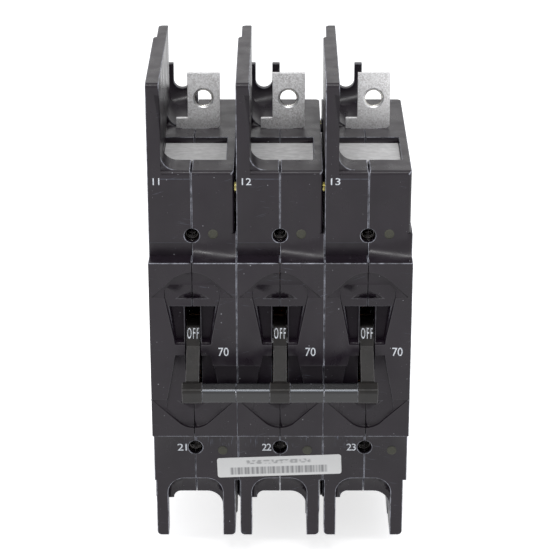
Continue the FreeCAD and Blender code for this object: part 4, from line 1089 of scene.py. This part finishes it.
def joined(name, meshes, surface):
    """One object of several meshes, with one finish."""
    shape = bmesh.new()
    for mesh in meshes:
        shape.from_mesh(mesh)
    bmesh.ops.remove_doubles(shape, verts=shape.verts, dist=0.0002 * MM)
    bmesh.ops.recalc_face_normals(shape, faces=shape.faces)
    result = bpy.data.meshes.new(name)
    shape.to_mesh(result)
    shape.free()
    result.materials.clear()
    result.materials.append(surface)
    for face in result.polygons:
        face.material_index = 0
    return placed(name, result)


# %% [markdown]
# The terminal numbers stand at the same place on each pole, so one loop lays them. The digit 1 is
# narrow, so a pair of them gets a narrower box.

# %% Numbers on the poles
NUMBER_WEIGHT = 0.004
PANEL_FACE = -5.5 * MM


def mark(text, left, low, size, face=0.0, spacing=1.0):
    """A text whose lower left corner is at left and low, on the face at that depth."""
    wide, tall = size
    mesh = letters(text, wide * MM, tall * MM, NUMBER_WEIGHT, spacing)
    mesh.transform(Matrix.Translation((left + wide / 2 * MM, face, (low + tall / 2) * MM)))
    return mesh


number_meshes = []
for number, pole in enumerate(POLES, start=1):
    upper_wide = 1.9 if number == 1 else 2.7
    number_meshes.append(mark("1%d" % number, pole - 10.9 * MM, 49.9, (upper_wide, 2.1)))
    number_meshes.append(mark("2%d" % number, pole - 5.4 * MM, -35.4, (2.8, 2.3), spacing=0.85))
    number_meshes.append(mark("70", pole + 7.4 * MM, -1.4, (3.0, 2.7), face=PANEL_FACE))
numbers = joined("pole_numbers", number_meshes, ink)
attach(numbers, "case")
print("number faces:", len(numbers.data.polygons))

# %% [markdown]
# OFF shows while the levers are down, and ON while they are up, so both words are rolled onto the
# drum of each handle, one above the lever and one below it.

# %% Words on the handles
DRUM_RADIUS = 7.5 * MM
DRUM_AXIS_Y = 3.0 * MM
LEVER_DROP = 23.0
WORD_ANGLE = 62.0
WORD_TALL = 3.3 * MM
WORD_SPACING = 1.38
BANDS = 8


def rolled(text, wide, angle, x):
    """Letters bent round the handle's drum, their middle at an angle above the horizontal."""
    mesh = letters(text, wide, WORD_TALL, 0.0, WORD_SPACING)
    shape = bmesh.new()
    shape.from_mesh(mesh)
    for k in range(1, BANDS):
        height = WORD_TALL * (k / BANDS - 0.5)
        bmesh.ops.bisect_plane(shape, geom=shape.verts[:] + shape.edges[:] + shape.faces[:],
                               plane_co=(0, 0, height), plane_no=(0, 0, 1))
    for vertex in shape.verts:
        turn = math.radians(angle) + vertex.co.z / DRUM_RADIUS
        radius = DRUM_RADIUS - vertex.co.y
        vertex.co = (x + vertex.co.x, DRUM_AXIS_Y - radius * math.cos(turn), radius * math.sin(turn))
    shape.to_mesh(mesh)
    shape.free()
    return mesh


word_meshes = []
for pole in POLES:
    word_meshes.append(rolled("OFF", 3.4 * MM, WORD_ANGLE - LEVER_DROP, pole))
    word_meshes.append(rolled("ON", 2.6 * MM, -WORD_ANGLE - LEVER_DROP, pole))
words = joined("handle_words", word_meshes, ink)
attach(words, "handles")
print("word faces:", len(words.data.polygons))

# %% [markdown]
# ## Paper label and ejector marks
# A small white label is stuck across the three poles below the panel. It is a thin sheet with
# rounded corners, slightly askew, and its print is only soft grey bars that say nothing.
# Each pole also keeps two round dull marks where a pin pushed the moulding out of its mould.

# %% Label paper
LABEL_WIDE = 37.4 * MM
LABEL_TALL = 6.6 * MM
LABEL_THICK = 0.12 * MM
EDGE_RUN = 3 * MM
LABEL_CENTRE = (-0.2 * MM, 0.0, -40.6 * MM)
LABEL_TURN = math.radians(2.1)


def printed(tree, place, low, high, left, right, soft):
    """A soft-edged rectangle of print; its sides are in millimetres from the label's middle."""
    parts = node(tree, "ShaderNodeSeparateXYZ", Vector=place).outputs
    return times(tree, between(tree, parts[2], low * MM, high * MM, 0.3 * MM),
                 between(tree, parts[0], left * MM, right * MM, soft * MM))


def paper(name):
    sheet, grey = (0.78, 0.78, 0.77), (0.12, 0.12, 0.13)
    material, tree, shader, place = new_finish(name, sheet, 0.55)
    place = node(tree, "ShaderNodeMapping", vector_type="TEXTURE", Location=LABEL_CENTRE,
                 Rotation=(0, -LABEL_TURN, 0), Vector=place).outputs[0]
    bars = spread(tree, noise(tree, place, 0.7 * MM, 0.0, (1, 400, 400)), 0.38, 0.62, 0.25, 0.75)
    dots = spread(tree, noise(tree, place, 1.1 * MM, 0.0, (1, 400, 0.8)), 0.42, 0.6, 0.1, 0.55)
    lower = times(tree, printed(tree, place, -2.3, -0.2, -14.5, 14, 0.6), bars)
    upper = times(tree, printed(tree, place, 1.1, 2.1, -9.5, 9, 0.8), dots)
    link(tree, blend_colours(tree, largest(tree, lower, upper), sheet, grey), shader.inputs["Base Color"])
    fibres = noise(tree, place, 0.25 * MM, 3.0, (3, 1, 1))
    raise_surface(tree, shader, fibres, 0.02 * MM, 0.4)
    return material


print("label:", round(LABEL_WIDE / MM, 1), "x", round(LABEL_TALL / MM, 1), "mm")

# %% Label sheet
def rounded_outline(wide, tall, radius, steps=6):
    points = []
    for corner, (sx, sz) in enumerate(((1, 1), (-1, 1), (-1, -1), (1, -1))):
        for step in range(steps + 1):
            angle = math.radians(90 * corner + 90 * step / steps)
            points.append((sx * (wide / 2 - radius) + radius * math.cos(angle),
                           sz * (tall / 2 - radius) + radius * math.sin(angle)))
    return points


def plate(name, outline, thickness, softness, surface):
    """A thin sheet with a softened front edge, its back on Y 0."""
    count = len(outline)
    middle = [sum(point[i] for point in outline) / count for i in (0, 1)]
    shrink = 1 - softness / EDGE_RUN
    inner = [[middle[i] + (point[i] - middle[i]) * shrink for i in (0, 1)] for point in outline]
    rings = ((outline, 0.0), (outline, -thickness + softness), (inner, -thickness))
    corners = [(x, depth, z) for ring, depth in rings for x, z in ring]
    ends = [tuple(range(count)), tuple(range(2 * count, 3 * count))]
    return placed(name, closed_mesh(name, corners, ends + walls(count, 3), [surface]))


label = plate("paper_label", rounded_outline(LABEL_WIDE, LABEL_TALL, 0.8 * MM), LABEL_THICK,
              0.03 * MM, paper("label_paper"))
label.data.transform(Matrix.Translation(LABEL_CENTRE) @ Matrix.Rotation(-LABEL_TURN, 4, "Y"))
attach(label, "case")
print("label faces:", len(label.data.polygons))

# %% [markdown]
# An ejector mark is a shallow dished disc. One tree makes the disc and sets it on every pole, and
# runs twice, for the upper and the lower row.

# %% Ejector marks
def ejector_tree(name):
    """A shallow dished disc for every pole."""
    tree, given = nodes_group(name, ("Radius", "Rise", "Pitch"))
    disc = node(tree, "GeometryNodeMeshCylinder", Vertices=36, Fill_Segments=4, Radius=given["Radius"],
                Depth=given["Rise"])
    flat = node(tree, "ShaderNodeVectorMath", operation="MULTIPLY")
    flat.inputs[1].default_value = (1, 1, 0)
    link(tree, node(tree, "GeometryNodeInputPosition").outputs[0], flat.inputs[0])
    off_axis = node(tree, "ShaderNodeVectorMath", operation="LENGTH")
    link(tree, flat.outputs[0], off_axis.inputs[0])
    share = calculate(tree, "DIVIDE", off_axis.outputs["Value"], given["Radius"])
    wave = calculate(tree, "SINE", times(tree, share, 3.1))
    shift = node(tree, "ShaderNodeCombineXYZ", Z=times(tree, wave, given["Rise"], 0.35))
    dish = node(tree, "GeometryNodeSetPosition", Geometry=disc.outputs[0], Offset=shift.outputs[0])
    set_on_grid(tree, dish.outputs[0], 90, (len(POLES), 1), (given["Pitch"], 0.0), given["Finish"])
    return tree


def dull_mark(name):
    material, tree, shader, place = new_finish(name, (0.045, 0.045, 0.032), 0.7)
    grain = noise(tree, place, 0.3 * MM, 4.0)
    colour = blend_colours(tree, spread(tree, grain, 0.35, 0.65), (0.035, 0.035, 0.026), (0.07, 0.07, 0.05))
    paint(tree, shader, colour, spread(tree, grain, 0.3, 0.7, 0.6, 0.8))
    raise_surface(tree, shader, grain, 0.04 * MM, 0.6)
    return material


ejector_disc = ejector_tree("ejector_disc")
ejector_finish = dull_mark("ejector_mark")
EJECTOR_PLACES = {
    "upper_ejector_marks": (6.1 * MM, 0.0, 34.8 * MM),
    "lower_ejector_marks": (8.2 * MM, 0.0, -35.3 * MM),
}
for name, place in EJECTOR_PLACES.items():
    marks = grown(name, ejector_disc, Vector(place), Radius=1.45 * MM, Rise=0.08 * MM, Pitch=2 * PITCH,
                  Finish=ejector_finish)
    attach(marks, "case")
    print(name, "faces:", len(marks.data.polygons))
